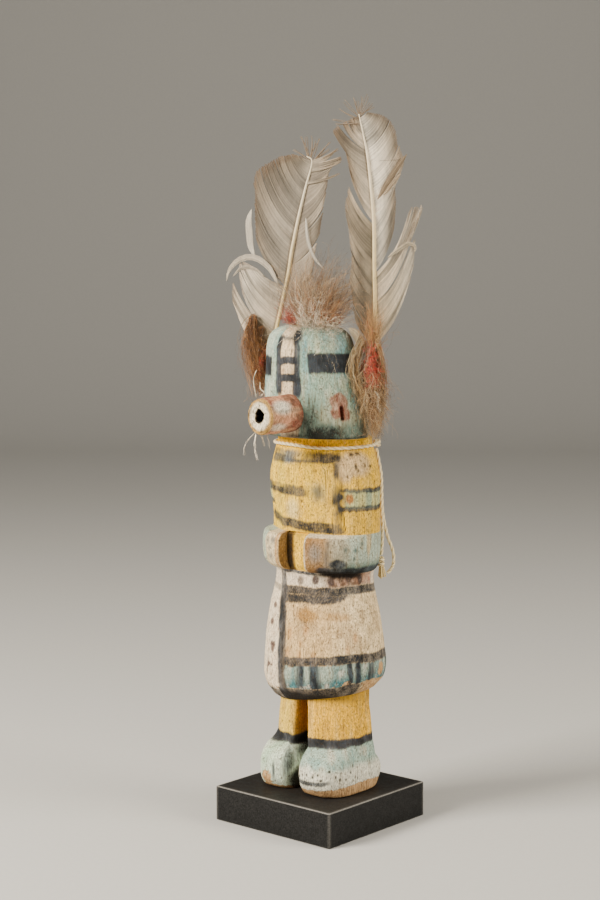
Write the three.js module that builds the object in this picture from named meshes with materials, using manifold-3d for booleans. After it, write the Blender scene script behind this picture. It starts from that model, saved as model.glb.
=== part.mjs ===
// Kachina doll: a carved and painted figure with a tube snout, feathers, fur and twine, on a square socle.
// Millimetres, +Z up. The origin is the centre of the socle's underside, and the doll faces -Y.
// Heights of the doll's own parts are measured from the socle's top.
import * as THREE from 'three';
import { mergeVertices } from 'three/addons/utils/BufferGeometryUtils.js';
import Module from 'manifold-3d';

const wasm = await Module();
wasm.setup();

const GAP = 0.3; // left between pieces that touch
const TURN = 2 * Math.PI;

// Socle
const SOCLE_SIDE = 75;
const SOCLE_HEIGHT = 18;
const SOCLE_BEVEL = 0.6;

// Figure: every cross-section is an ellipse whose depth is this share of its width
const DEPTH_SHARE = 0.71;
const SIDES = 48; // points round a section
const BODY_Y = 3.3; // the body's centre line lies this far behind the socle's centre
const HEM = [[47.3, 25.4], [48.7, 28.2], [50.7, 30.2], [53.4, 32.6], [56.8, 34], [60, 34.5]];
const HEM_TILT = 4; // the hem's edge is this much higher towards the doll's left than in the middle
const HEM_TURN = 0.35; // radians from the doll's left towards its back, where the hem is highest
const HEM_TOP = 76; // the tilt has died away here
const KILT = [[68, 34], [78, 33], [91.5, 30.6], [98, 29], [105, 27.5], [109.5, 27.2]];
const TORSO = [[111.6, 28], [112.6, 29], [115.5, 30.3], [121.4, 31], [127, 31], [129.8, 30.9], [131.2, 30.9],
  [142, 30.8], [151, 31], [158, 30.8], [165, 29.3], [172.5, 27.2]];
const NECK = [[174.2, 26.6], [177.6, 26.4]];
const MASK = [[178.6, 28.3], [179.8, 29.2], [188, 28.9], [198, 27.8], [215.5, 25.4],
  [220.5, 24.7], [224.4, 23.8], [227.8, 22.4], [230.4, 19.9], [232, 16.6], [232.9, 11.2]];
const CROWN = 233.2;
const MASK_BASE = { z: 178.6, x: 0, y: -3.1 };
const MASK_TOP = { z: 222, x: -1.8, y: -5.9 }; // the mask leans forward and to the doll's right

// Arms: the forearms stand out as one band that is broken between the hands
const BAND_LOW = 111.6;
const BAND_HIGH = 131.2;
const HAND_RELIEF = 6.5; // at the hands, dying away towards the elbows
const ELBOW = 1.5; // radians from the front
const HAND_GAP = [-0.205, 0.243]; // radians from the front, right hand to left hand
const GROOVE = { at: 0.86, width: 0.1, depth: 1.1, high: 166 }; // between chest and upper arm
const CHEST_CUT = 1.1; // the chest lies this far behind the upper arms
const FLANK = { depth: 1.8, low: 136, high: 153 }; // the right side draws in above the forearm

// Legs and feet
const LEG_Y = 3.6;
const LEGS = [[20, 26], [26, 26.6], [32, 26.1], [37.5, 25.6], [43, 25], [54, 25]];
const SLIT = { top: 46.4, low: 19, topX: [-3.8, 2.1], lowX: [-6.1, 3.4] };
const FEET = [{ x: -14, widen: 1 }, { x: 12.9, widen: 1.08 }]; // right and left
const FOOT = [ // height, half width, reach in front, reach behind
  [0, 12, 19.5, 20], [1.2, 12.2, 20.9, 21.2], [5.6, 12.5, 23, 23.6], [9, 12.6, 23.2, 24.2],
  [12.5, 12.6, 23, 22.6], [17, 12.2, 21.4, 18.8], [20.5, 11.6, 17.4, 18], [23, 10.6, 12.2, 17],
  [25.5, 9.6, 9, 15.5],
];
const FOOT_SQUARE = 3; // exponent of the foot's rounded outline

// Snout
const SNOUT = { z: 190.7, base: -18.6, tip: -45.6, radius: 9.6, tipRadius: 8.6, flat: 0.92, rim: 0.8 };
const SNOUT_BORE = { radius: 3, depth: 16 };
const SNOUT_SIDES = 24;

// Cheek slot, cut into the mask's left side
const SLOT = { angle: 1.09, z: 191.5, width: 1.8, height: 6.5, depth: 2 };

// Twine
const TWINE = 1.7;
const TWINE_SIDES = 8;
const RING_Z = 174;
const HANG_ANGLE = 0.63; // radians from +X towards the back, where the twine is tied
const RING_STEPS = 34;
const STRAND_STEPS = 17;

/** Closed skin through rings of equal point counts, closed by a fan at each end. */
function skin(rings, firstPole, lastPole) {
  const n = rings[0].length;
  const points = [...rings.flat(), firstPole, lastPole];
  const index = [];
  for (let r = 0; r + 1 < rings.length; r++) {
    for (let k = 0; k < n; k++) {
      const a = r * n + k;
      const b = r * n + (k + 1) % n;
      index.push(a, b, b + n, a, b + n, a + n);
    }
  }
  const first = rings.length * n;
  const top = (rings.length - 1) * n;
  for (let k = 0; k < n; k++) {
    index.push(first, (k + 1) % n, k, first + 1, top + k, top + (k + 1) % n);
  }
  const geometry = new THREE.BufferGeometry().setFromPoints(points);
  geometry.setIndex(index);
  return geometry;
}

/** A closed geometry as a Manifold solid. */
function solid(geometry) {
  const bare = geometry.clone();
  bare.deleteAttribute('normal');
  bare.deleteAttribute('uv');
  const merged = mergeVertices(bare, 1e-4);
  const mesh = new wasm.Mesh({
    numProp: 3,
    vertProperties: new Float32Array(merged.attributes.position.array),
    triVerts: new Uint32Array(merged.index.array),
  });
  return new wasm.Manifold(mesh);
}

/** A Manifold solid as a geometry. */
function geometryOf(manifold) {
  const mesh = manifold.getMesh();
  const geometry = new THREE.BufferGeometry();
  geometry.setAttribute('position', new THREE.BufferAttribute(new Float32Array(mesh.vertProperties), 3));
  geometry.setIndex(new THREE.BufferAttribute(new Uint32Array(mesh.triVerts), 1));
  return geometry;
}

/** 0 below low, 1 above high, smooth between. */
const ease = (x, low, high) => THREE.MathUtils.smoothstep(x, low, high);

/** How far the surface stands out from its ellipse, at an angle from the front and a height. */
function relief(angle, z) {
  const away = Math.abs(angle);
  let out = 0;
  const across = Math.abs(2 * (z - BAND_LOW) / (BAND_HIGH - BAND_LOW) - 1);
  if (across < 1 && away < ELBOW) {
    const inGap = angle > HAND_GAP[0] && angle < HAND_GAP[1];
    out += inGap ? -0.8 : HAND_RELIEF * (1 - (away / ELBOW) ** 1.6) * Math.sqrt(1 - across ** 4);
  }
  if (z > BAND_HIGH - 1 && z < GROOVE.high) {
    const fade = 1 - ease(z, GROOVE.high - 12, GROOVE.high);
    out -= CHEST_CUT * fade * (1 - ease(away, GROOVE.at - 0.25, GROOVE.at));
    out -= GROOVE.depth * fade * Math.exp(-(((away - GROOVE.at) / GROOVE.width) ** 2));
    const onFlank = ease(-angle, 0.3, 0.7) * (1 - ease(-angle, 1.5, 2.2));
    out -= FLANK.depth * onFlank * (1 - ease(z, FLANK.low, FLANK.high));
  }
  return out;
}

/** One section of the body or mask: an ellipse with the arms' relief, its heights leaning with the hem. */
function section([z, halfWidth], centreX, centreY) {
  const ring = [];
  for (let k = 0; k < SIDES; k++) {
    const turned = TURN * k / SIDES;
    const angle = turned > Math.PI ? turned - TURN : turned;
    const normal = new THREE.Vector2(DEPTH_SHARE * Math.sin(angle), -Math.cos(angle)).normalize();
    const out = relief(angle, z);
    const x = centreX + halfWidth * Math.sin(angle) + out * normal.x;
    const y = centreY - DEPTH_SHARE * halfWidth * Math.cos(angle) + out * normal.y;
    const tilt = HEM_TILT * Math.sin(angle - HEM_TURN) * (1 - ease(z, HEM[5][0], HEM_TOP));
    ring.push(new THREE.Vector3(x, y, z + tilt));
  }
  return ring;
}

/** The mask's centre at a height. */
function maskCentre(z) {
  const t = THREE.MathUtils.clamp((z - MASK_BASE.z) / (MASK_TOP.z - MASK_BASE.z), 0, 1);
  return [THREE.MathUtils.lerp(MASK_BASE.x, MASK_TOP.x, t), THREE.MathUtils.lerp(MASK_BASE.y, MASK_TOP.y, t)];
}

/** Kilt, torso with arms, neck and mask in one closed skin. */
function bodyShell() {
  const rings = [...HEM, ...KILT, ...TORSO, ...NECK].map((row) => section(row, 0, BODY_Y));
  for (const row of MASK) rings.push(section(row, ...maskCentre(row[0])));
  const [x, y] = maskCentre(CROWN);
  return skin(rings, new THREE.Vector3(0, BODY_Y, HEM[0][0]), new THREE.Vector3(x, y, CROWN));
}

/** Both legs as one post, before the slit between them is cut. */
function legShell() {
  const rings = LEGS.map(([z, halfWidth]) => section([z, halfWidth], 0, LEG_Y)
    .map((p) => p.setZ(z)));
  const last = LEGS[LEGS.length - 1][0];
  return skin(rings, new THREE.Vector3(0, LEG_Y, LEGS[0][0]), new THREE.Vector3(0, LEG_Y, last));
}

/** One foot: rounded sections that reach further in front at the toes. */
function footShell(foot) {
  const rings = FOOT.map(([z, halfWidth, front, behind]) => {
    const ring = [];
    for (let k = 0; k < SIDES / 2; k++) {
      const angle = 2 * TURN * k / SIDES;
      const s = Math.sin(angle);
      const c = -Math.cos(angle);
      const power = 2 / FOOT_SQUARE;
      const reach = c < 0 ? front : behind;
      const x = foot.x + foot.widen * halfWidth * Math.sign(s) * Math.abs(s) ** power;
      ring.push(new THREE.Vector3(x, reach * Math.sign(c) * Math.abs(c) ** power, z));
    }
    return ring;
  });
  const middle = new THREE.Vector3(foot.x, 0, 0);
  return skin(rings, middle, middle.clone().setZ(FOOT[FOOT.length - 1][0]));
}

/** The prism that parts the legs, wider towards the ankles. */
function slitPrism() {
  const shape = new THREE.Shape([
    new THREE.Vector2(SLIT.lowX[0], SLIT.low), new THREE.Vector2(SLIT.lowX[1], SLIT.low),
    new THREE.Vector2(SLIT.topX[1], SLIT.top), new THREE.Vector2(SLIT.topX[0], SLIT.top),
  ]);
  const prism = new THREE.ExtrudeGeometry(shape, { depth: 80, bevelEnabled: false });
  return prism.translate(0, 0, -40).rotateX(Math.PI / 2);
}

/** A round bar along Y, from one place to another. */
function barAlongY(radius, radiusEnd, from, to, z, sides) {
  const bar = new THREE.CylinderGeometry(radius, radiusEnd, Math.abs(to - from), sides);
  return bar.translate(0, (from + to) / 2, z);
}

/** The figure, with the seat that the snout is pushed into and the slot in the cheek. */
function figureGeometry() {
  const slot = new THREE.BoxGeometry(SLOT.width, 2 * SLOT.depth, SLOT.height);
  slot.rotateZ(SLOT.angle - 0.12);
  const [x, y] = maskCentre(SLOT.z);
  slot.translate(x + 28.7 * Math.sin(SLOT.angle), y - DEPTH_SHARE * 28.7 * Math.cos(SLOT.angle), SLOT.z);
  const seat = barAlongY(SNOUT.radius + GAP, SNOUT.radius + GAP, -40, SNOUT.base + GAP, 0, SNOUT_SIDES);
  seat.scale(SNOUT.flat, 1, 1).translate(0, 0, SNOUT.z);
  const legs = FEET.reduce((sum, foot) => sum.add(solid(footShell(foot))), solid(legShell()));
  return geometryOf(solid(bodyShell()).add(legs).subtract(solid(slitPrism()))
    .subtract(solid(seat)).subtract(solid(slot)));
}

/** The snout: a slightly oval tube with a worn rim and a blind bore. */
function snoutGeometry() {
  const length = SNOUT.base - SNOUT.tip;
  const profile = [
    [0, 0], [SNOUT.radius, 0], [SNOUT.tipRadius, length - SNOUT.rim], [SNOUT.tipRadius - SNOUT.rim, length],
    [SNOUT_BORE.radius, length], [SNOUT_BORE.radius, length - SNOUT_BORE.depth], [0, length - SNOUT_BORE.depth],
  ].map(([r, along]) => new THREE.Vector2(r, along));
  const tube = new THREE.LatheGeometry(profile, SNOUT_SIDES);
  return tube.rotateX(Math.PI).scale(SNOUT.flat, 1, 1).translate(0, SNOUT.base, SNOUT.z);
}

/** Square block with a narrow bevel on every edge. */
function socleGeometry() {
  const half = SOCLE_SIDE / 2 - SOCLE_BEVEL;
  const square = new THREE.Shape([
    new THREE.Vector2(-half, -half), new THREE.Vector2(half, -half),
    new THREE.Vector2(half, half), new THREE.Vector2(-half, half),
  ]);
  return new THREE.ExtrudeGeometry(square, {
    depth: SOCLE_HEIGHT - GAP - 2 * SOCLE_BEVEL,
    bevelThickness: SOCLE_BEVEL,
    bevelSize: SOCLE_BEVEL,
    bevelSegments: 1,
  }).translate(0, 0, SOCLE_BEVEL);
}

// Feathers: each lies in an upright plane through its foot, with "across" along that plane and "up" as +Z.
// A lobe is a stretch of vane: its barbs leave the shaft between two heights and end on an edge line.
const VANE = 0.9; // thickness that stands for the barbs
const QUILL = { foot: 1.1, tip: 0.45, sides: 6, steps: 10 };
const RIGHT_FEATHER = {
  foot: [-29, -5, 216], turn: THREE.MathUtils.degToRad(30), bow: 5, camber: 6,
  shaft: [[0, 0], [8.3, 37.5], [10.8, 53], [14.2, 70.5], [17.4, 84.5], [20.4, 97], [17.8, 100]],
  lobes: [
    { roots: [36, 98], rows: 10,
      edge: [[1, 44.5], [-5, 51.5], [-9.1, 60], [-10.5, 75], [-10.3, 90], [-5.3, 95.5], [1.3, 99.3],
        [8.6, 101.2], [14.7, 100.2]] },
    { roots: [24, 95], rows: 9,
      edge: [[15, 29], [21, 41], [23.6, 57], [25.7, 70.5], [28.5, 85.5], [29.4, 92.7], [34.7, 99.5]] },
    { roots: [9, 35], rows: 7, edge: [[0, 12], [-7.2, 22], [-15.2, 31.7], [-17.1, 38.7], [-17, 47]] },
    { roots: [2, 14], rows: 5, edge: [[-3.8, 6.4], [-9.2, 11.8], [-17.1, 19.6], [-20.8, 28], [-21.2, 37]] },
    { roots: [33, 36], rows: 5, edge: [[-24.3, 38.5], [-21, 45.5], [-15, 49.5], [-9, 51.5]] },
  ],
};
const LEFT_FEATHER = {
  foot: [29.5, 6.5, 222.4], turn: THREE.MathUtils.degToRad(50), bow: 5, camber: 5,
  shaft: [[0, 0], [-0.6, 38.5], [-0.7, 59.7], [-1.8, 76], [-3.6, 93.4], [-5.5, 103.5], [-7.5, 113]],
  lobes: [
    { roots: [61.5, 111], rows: 8,
      edge: [[-4.5, 66], [-8.6, 73.6], [-11.6, 82.3], [-13.9, 93.4], [-16.5, 101.5], [-20.5, 105.5],
        [-13.3, 110.2], [-8, 112.3]] },
    { roots: [8, 59.5], rows: 9,
      edge: [[-9.6, 12.4], [-12.7, 30.6], [-11.9, 42.3], [-12.6, 54.3], [-14.6, 68], [-12.6, 78],
        [-9.4, 69.3], [-3.5, 61]] },
    { roots: [37, 111], rows: 11,
      edge: [[4.8, 44], [9.5, 58.2], [10.5, 70], [11.1, 81], [15, 90], [12.7, 97.4], [10.8, 107],
        [5.5, 112.6], [-2.9, 114.2]] },
    { roots: [22, 36], rows: 4, edge: [[13, 37], [15.5, 47], [17.6, 58.2], [24, 67.6]] },
    { roots: [2, 22], rows: 6, edge: [[4, 5], [10.7, 19.3], [17.5, 32], [19.7, 41.6], [20.2, 52.5]] },
  ],
};

const curve2 = (points) => new THREE.CatmullRomCurve3(points.map(([u, v]) => new THREE.Vector3(u, v, 0)));

/** Where a feather's plane coordinates lie in space; the vane bows back and its edges curl back. */
function place(feather, u, v, forward) {
  const { foot, turn, bow, camber } = feather;
  const offShaft = u - shaftAt(feather, v).x;
  const back = forward - bow * (v / 100) ** 2 - camber * (offShaft / 25) ** 2;
  return new THREE.Vector3(
    foot[0] + u * Math.cos(turn) + back * Math.sin(turn),
    foot[1] + u * Math.sin(turn) - back * Math.cos(turn),
    foot[2] + v,
  );
}

/** The shaft's plane point at a height. */
function shaftAt(feather, v) {
  const rows = feather.shaft;
  let k = 0;
  while (k < rows.length - 2 && rows[k + 1][1] < v) k++;
  const t = THREE.MathUtils.clamp((v - rows[k][1]) / (rows[k + 1][1] - rows[k][1]), 0, 1);
  return new THREE.Vector2(THREE.MathUtils.lerp(rows[k][0], rows[k + 1][0], t), v);
}

/** One lobe of vane as a thin closed plate: a row of points per barb, from the shaft to the edge. */
function lobeGeometry(feather, lobe) {
  const edge = curve2(lobe.edge);
  const front = [];
  const back = [];
  for (let r = 0; r <= lobe.rows; r++) {
    const t = r / lobe.rows;
    const root = shaftAt(feather, THREE.MathUtils.lerp(...lobe.roots, t));
    const tip = edge.getPoint(t);
    const bend = [THREE.MathUtils.lerp(root.x, tip.x, 0.55), THREE.MathUtils.lerp(root.y, tip.y, 0.38)];
    const barb = [[root.x, root.y], bend, [tip.x, tip.y]];
    front.push(barb.map(([u, v]) => place(feather, u, v, VANE / 2)));
    back.push(barb.map(([u, v]) => place(feather, u, v, -VANE / 2)));
  }
  const rings = front.map((row, r) => [...row, ...back[r].slice().reverse()]);
  const centre = (ring) => ring.reduce((sum, p) => sum.add(p), new THREE.Vector3()).divideScalar(ring.length);
  return facingOut(skin(rings, centre(rings[0]), centre(rings[rings.length - 1])));
}

/** The same closed skin, with its faces turned over if they point inwards. */
function facingOut(geometry) {
  const index = Array.from(geometry.index.array);
  const corner = (k) => new THREE.Vector3().fromBufferAttribute(geometry.attributes.position, index[k]);
  let volume = 0;
  for (let k = 0; k < index.length; k += 3) volume += corner(k).dot(corner(k + 1).cross(corner(k + 2)));
  if (volume > 0) return geometry;
  for (let k = 0; k < index.length; k += 3) [index[k], index[k + 1]] = [index[k + 1], index[k]];
  geometry.setIndex(index);
  return geometry;
}

/** The quill: a tapering six-sided rod along the shaft. */
function quillGeometry(feather) {
  const line = curve2(feather.shaft);
  const rings = [];
  for (let s = 0; s <= QUILL.steps; s++) {
    const at = line.getPoint(s / QUILL.steps);
    const radius = THREE.MathUtils.lerp(QUILL.foot, QUILL.tip, s / QUILL.steps);
    const middle = place(feather, at.x, at.y, 0);
    const ring = [];
    for (let k = 0; k < QUILL.sides; k++) {
      const angle = TURN * k / QUILL.sides;
      ring.push(middle.clone().add(new THREE.Vector3(radius * Math.cos(angle), radius * Math.sin(angle), 0)));
    }
    rings.push(ring);
  }
  const foot = place(feather, ...feather.shaft[0], 0);
  return skin(rings, foot, place(feather, ...feather.shaft[feather.shaft.length - 1], 0));
}

/** Quill and lobes in one solid. */
function featherGeometry(feather) {
  let joined = solid(quillGeometry(feather));
  for (const lobe of feather.lobes) joined = joined.add(solid(lobeGeometry(feather, lobe)));
  return geometryOf(joined);
}

// Tufts, as rows of [height, x, y, half width, half depth]
const TUFT_SIDES = 20;
const CROWN_TUFT = [[233.6, 2, -7, 12, 7.5], [237, 2, -6.5, 14.5, 9], [244, 2, -6, 14, 9], [251, 3, -5, 12, 8],
  [258, 4, -4, 9, 6.5], [264, 5, -3, 5.5, 4.5], [269, 5.5, -3, 2, 2]];
const LEFT_TUFT = [[176, 34.8, 2, 3.2, 4], [182, 34.6, 2.5, 4.4, 7], [190, 34.2, 2.5, 4.8, 8.5],
  [200, 33, 2, 5, 9], [210, 31.6, 2.5, 5, 8], [217, 30.4, 4, 4.6, 6], [221.8, 29.5, 5.5, 3, 4]];
const RIGHT_TUFT = [[196, -32.6, -6, 2.6, 3.5], [201, -33, -6.4, 4, 5.5], [207, -33, -6.6, 4.8, 6.5],
  [212, -32.6, -6.4, 4.8, 6], [215.4, -31.6, -5.8, 3.4, 4]];

/** A tuft of fur, with its locks as shallow ridges that twist as they rise. */
function tuftGeometry(rows, locks, twist) {
  const rings = rows.map(([z, x, y, halfWidth, halfDepth]) => {
    const ring = [];
    for (let k = 0; k < TUFT_SIDES; k++) {
      const angle = TURN * k / TUFT_SIDES;
      const lock = 1 - 0.13 * (0.5 + 0.5 * Math.cos(locks * angle + twist * z));
      const across = halfWidth * lock * Math.cos(angle);
      ring.push(new THREE.Vector3(x + across, y + halfDepth * lock * Math.sin(angle), z));
    }
    return ring;
  });
  const pole = ([z, x, y]) => new THREE.Vector3(x, y, z);
  return skin(rings, pole(rows[0]), pole(rows[rows.length - 1]));
}

// The two legs of the loop, as [out, side, height]
const INNER_STRAND = [[25.6, 0, 171.2], [26.6, 0, 166], [27.9, 0, 158], [28.2, 0, 150], [28.3, 0, 142],
  [28.9, 0, 133], [28.9, 0, 125], [28.4, 0, 117.5]];
const OUTER_STRAND = [[25.6, 2.05, 171.2], [26.6, 2.05, 166], [28, 2.05, 158], [28.4, 2.05, 148],
  [28.8, 2.05, 140], [30.2, 2, 131.5], [31.8, 1.8, 125.5], [33.8, 1.4, 120.5], [34.6, 1, 116], [34.2, 0.6, 112],
  [32.6, 0.3, 109.4], [31.35, 0.1, 108.3]];
const NAPE_KNOT = { out: 25.9, side: 1, z: 174, radius: 2.4 };
const END_KNOT = { out: 28.3, side: 0, low: 105.5,
  profile: [[0, 0], [2.3, 0], [2.6, 2.5], [2, 6.5], [1.3, 10], [0.8, 11.6], [0, 11.6]] };

/** A point on the twine's upright plane: a distance from the body's axis, a sideways step and a height. */
function hangPoint([out, side, z]) {
  return new THREE.Vector3(
    out * Math.cos(HANG_ANGLE) - side * Math.sin(HANG_ANGLE),
    BODY_Y + out * Math.sin(HANG_ANGLE) + side * Math.cos(HANG_ANGLE),
    z,
  );
}

/** Twine of the usual thickness along points. */
function twineGeometry(points, steps) {
  const section8 = new THREE.Shape();
  section8.absarc(0, 0, TWINE / 2, 0, TURN);
  return new THREE.ExtrudeGeometry(section8, {
    steps,
    curveSegments: TWINE_SIDES / 2,
    bevelEnabled: false,
    extrudePath: new THREE.CatmullRomCurve3(points),
  });
}

/** The ring of twine round the neck, from one side of its knot to the other. */
function ringGeometry() {
  const clear = TWINE / 2 + 2 * GAP;
  const knotHalf = 0.12; // radians that the knot takes up
  const neck = NECK[0][1];
  const points = [];
  for (let k = 0; k <= RING_STEPS; k++) {
    const angle = HANG_ANGLE + 0.04 + knotHalf + (TURN - 2 * knotHalf) * k / RING_STEPS;
    const onNeck = neck * DEPTH_SHARE / Math.hypot(DEPTH_SHARE * Math.cos(angle), Math.sin(angle));
    const reach = onNeck + clear;
    points.push(new THREE.Vector3(reach * Math.cos(angle), BODY_Y + reach * Math.sin(angle), RING_Z));
  }
  return twineGeometry(points, RING_STEPS);
}

function napeKnotGeometry() {
  const middle = hangPoint([NAPE_KNOT.out, NAPE_KNOT.side, NAPE_KNOT.z]);
  const knot = new THREE.SphereGeometry(NAPE_KNOT.radius, 10, 6);
  return knot.rotateX(Math.PI / 2).translate(middle.x, middle.y, middle.z);
}

function endKnotGeometry() {
  const profile = END_KNOT.profile.map(([r, z]) => new THREE.Vector2(r, z));
  const at = hangPoint([END_KNOT.out, END_KNOT.side, END_KNOT.low]);
  return new THREE.LatheGeometry(profile, 12).rotateX(Math.PI / 2).translate(at.x, at.y, at.z);
}

const finish = (color, roughness) => new THREE.MeshStandardMaterial({ color, roughness, metalness: 0 });
const paint = finish('#d8c07a', 0.85);
const twine = finish('#d9c9a0', 0.9);
const vane = finish('#c9c1b6', 0.8);
const doll = new THREE.Group();
doll.position.z = SOCLE_HEIGHT;

function add(parent, name, geometry, material) {
  const mesh = new THREE.Mesh(geometry, material);
  mesh.name = name;
  parent.add(mesh);
}

const model = new THREE.Group();
add(model, 'socle', socleGeometry(), finish('#1c1b1c', 0.45));
add(doll, 'figure', figureGeometry(), paint);
add(doll, 'snout', snoutGeometry(), finish('#d6b9a2', 0.85));
add(doll, 'feather_right_ear', featherGeometry(RIGHT_FEATHER), vane);
add(doll, 'feather_left_ear', featherGeometry(LEFT_FEATHER), vane);
add(doll, 'crown_tuft', tuftGeometry(CROWN_TUFT, 7, 0.12), finish('#c99a6a', 0.95));
add(doll, 'left_ear_tuft', tuftGeometry(LEFT_TUFT, 6, 0.05), finish('#b4744c', 0.95));
add(doll, 'right_ear_tuft', tuftGeometry(RIGHT_TUFT, 6, 0.05), finish('#8a5a38', 0.95));
add(doll, 'neck_string', ringGeometry(), twine);
add(doll, 'nape_knot', napeKnotGeometry(), twine);
add(doll, 'string_strand_inner', twineGeometry(INNER_STRAND.map(hangPoint), STRAND_STEPS), twine);
add(doll, 'string_strand_outer', twineGeometry(OUTER_STRAND.map(hangPoint), STRAND_STEPS + 5), twine);
add(doll, 'end_knot', endKnotGeometry(), twine);
model.add(doll);

export default model;
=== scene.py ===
"""Carved and painted kachina doll with a tube snout, worn feathers, fur and cotton twine, on a black socle.

Shapes are worked out in millimetres above the soles of the feet and brought into the frame in one place.
"Angle" is measured about the doll's upright axis from its front, positive towards its left side.
"""
import math

import bpy
import numpy as np
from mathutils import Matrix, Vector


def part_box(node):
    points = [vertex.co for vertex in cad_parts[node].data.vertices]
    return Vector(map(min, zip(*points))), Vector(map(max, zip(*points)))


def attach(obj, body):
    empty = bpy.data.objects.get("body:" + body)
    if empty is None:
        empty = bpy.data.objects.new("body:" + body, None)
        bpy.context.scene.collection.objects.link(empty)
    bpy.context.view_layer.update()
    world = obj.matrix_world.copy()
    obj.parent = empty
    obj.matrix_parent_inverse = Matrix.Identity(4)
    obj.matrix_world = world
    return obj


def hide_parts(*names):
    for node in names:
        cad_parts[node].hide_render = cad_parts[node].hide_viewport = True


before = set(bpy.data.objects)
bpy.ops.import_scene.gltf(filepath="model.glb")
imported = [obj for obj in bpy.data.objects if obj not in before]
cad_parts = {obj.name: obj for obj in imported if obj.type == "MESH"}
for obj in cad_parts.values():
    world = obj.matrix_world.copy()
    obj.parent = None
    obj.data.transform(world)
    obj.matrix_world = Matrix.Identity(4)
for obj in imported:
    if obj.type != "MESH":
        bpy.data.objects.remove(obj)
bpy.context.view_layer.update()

MM = 0.001
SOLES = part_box("figure")[0][2]  # height of the socle's top in the frame, metres


# ---------------------------------------------------------------- small helpers

def linear(text):
    """A colour written as sRGB hex, as linear red, green and blue."""
    value = np.array([int(text[k:k + 2], 16) for k in (1, 3, 5)]) / 255
    return np.where(value <= 0.04045, value / 12.92, ((value + 0.055) / 1.055) ** 2.4)


def ease(x, low, high):
    """0 below low, 1 above high, and the cubic 3t^2 - 2t^3 between."""
    t = share((x - low) / (high - low))
    return t * t * (3 - 2 * t)


def fall(x, low, high):
    """1 below low and 0 above high."""
    return 1 - ease(x, low, high)


def share(x):
    """x kept between 0 and 1."""
    return np.clip(x, 0, 1)


def mix(a, b, t):
    return a + (b - a) * t


def waver(across, up, wide, tall, seed):
    """Smooth random values from -1 to 1: a seeded lattice with cells wide by tall, eased between its corners.
    It closes on itself after 360 across."""
    columns, rows = max(3, round(360 / wide)), 64
    lattice = np.random.default_rng(seed).uniform(-1, 1, (columns, rows))
    u, v = np.mod(across, 360) / 360 * columns, np.asarray(up) / tall + 640
    i, j = np.floor(u).astype(int), np.floor(v).astype(int)
    s, t = ease(u - i, 0, 1), ease(v - j, 0, 1)
    i, j = i % columns, j % rows
    i1, j1 = (i + 1) % columns, (j + 1) % rows
    return mix(mix(lattice[i, j], lattice[i1, j], s), mix(lattice[i, j1], lattice[i1, j1], s), t)


def hermite(knots, values, slopes, x):
    """Cubic pieces between knots: values times 1 - 3t^2 + 2t^3 and 3t^2 - 2t^3, and slopes times t(1 - t)^2
    and t^2(t - 1)."""
    k = np.clip(np.searchsorted(knots, x, side="right") - 1, 0, len(knots) - 2)
    step = (knots[k + 1] - knots[k])[..., None]
    t = (x - knots[k])[..., None] / step
    return ((1 + 2 * t) * (1 - t) ** 2 * values[k] + t * (1 - t) ** 2 * step * slopes[k]
            + t * t * (3 - 2 * t) * values[k + 1] + t * t * (t - 1) * step * slopes[k + 1])


def lengths_along(points):
    """Distance from the first point to each one, along the line."""
    return np.concatenate([[0], np.cumsum(np.linalg.norm(np.diff(points, axis=0), axis=1))])


def through(points, at, by_length=False):
    """Smooth line through points, with central differences as its slopes.
    at is 0 to 1 along it, by point number or by chord length."""
    points = np.asarray(points, float)
    knots = lengths_along(points) if by_length else np.arange(len(points), dtype=float)
    return hermite(knots, points, np.gradient(points, knots, axis=0), np.asarray(at, float) * knots[-1])


def profile(z, rows):
    """Column values at height z from rows [height, ...]. The slope at a row is the harmonic mean of the two
    beside it, or 0 where they disagree, so the line never overshoots."""
    rows = np.asarray(rows, float)
    at, value = rows[:, 0], rows[:, 1:]
    secant = np.diff(value, axis=0) / np.diff(at)[:, None]
    below, above = secant[:-1], secant[1:]
    inner = np.where(below * above > 0, 2 * below * above / (below + above + 1e-12), 0)
    found = hermite(at, value, np.vstack([secant[:1], inner, secant[-1:]]), np.clip(z, at[0], at[-1]))
    return found[..., 0] if value.shape[1] == 1 else found


def round_line(degrees, table):
    """A height that follows the body round: straight runs through rows of [degrees, height]."""
    return np.interp(degrees, *zip(*table))


def unit(v):
    return v / np.maximum(np.linalg.norm(v, axis=-1, keepdims=True), 1e-9)


# ---------------------------------------------------------------- meshes

def piece(name, node, slot, material, points, faces, **tints):
    """The mesh object that stands for a node, from points in millimetres above the soles. tints are colour
    attributes, one row a point. The faces are turned over if they enclose a negative volume."""
    points = np.asarray(points, float)
    fans = np.array([(f[0], f[k], f[k + 1]) for f in faces for k in range(1, len(f) - 1)])
    first, second, third = (points[fans[:, k]] for k in range(3))
    if np.sum(first * np.cross(second, third)) < 0:
        faces = [f[::-1] for f in faces]
    mesh = bpy.data.meshes.new(name)
    mesh.from_pydata((points * MM + [0, 0, SOLES]).tolist(), [], faces)
    for key, value in tints.items():
        layer = mesh.attributes.new(key, "FLOAT_COLOR", "POINT")
        layer.data.foreach_set("color", np.hstack([value, np.ones((len(points), 1))]).ravel())
    thing = finished(name, mesh, material)
    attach(thing, "root")
    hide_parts(node)
    return thing


def finished(name, mesh, material):
    """A smooth-shaded mesh with its material, linked into the scene."""
    mesh.polygons.foreach_set("use_smooth", [True] * len(mesh.polygons))
    mesh.materials.append(material)
    mesh.update()
    return linked(name, mesh)


def linked(name, data):
    thing = bpy.data.objects.new(name, data)
    bpy.context.scene.collection.objects.link(thing)
    return thing


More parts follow.
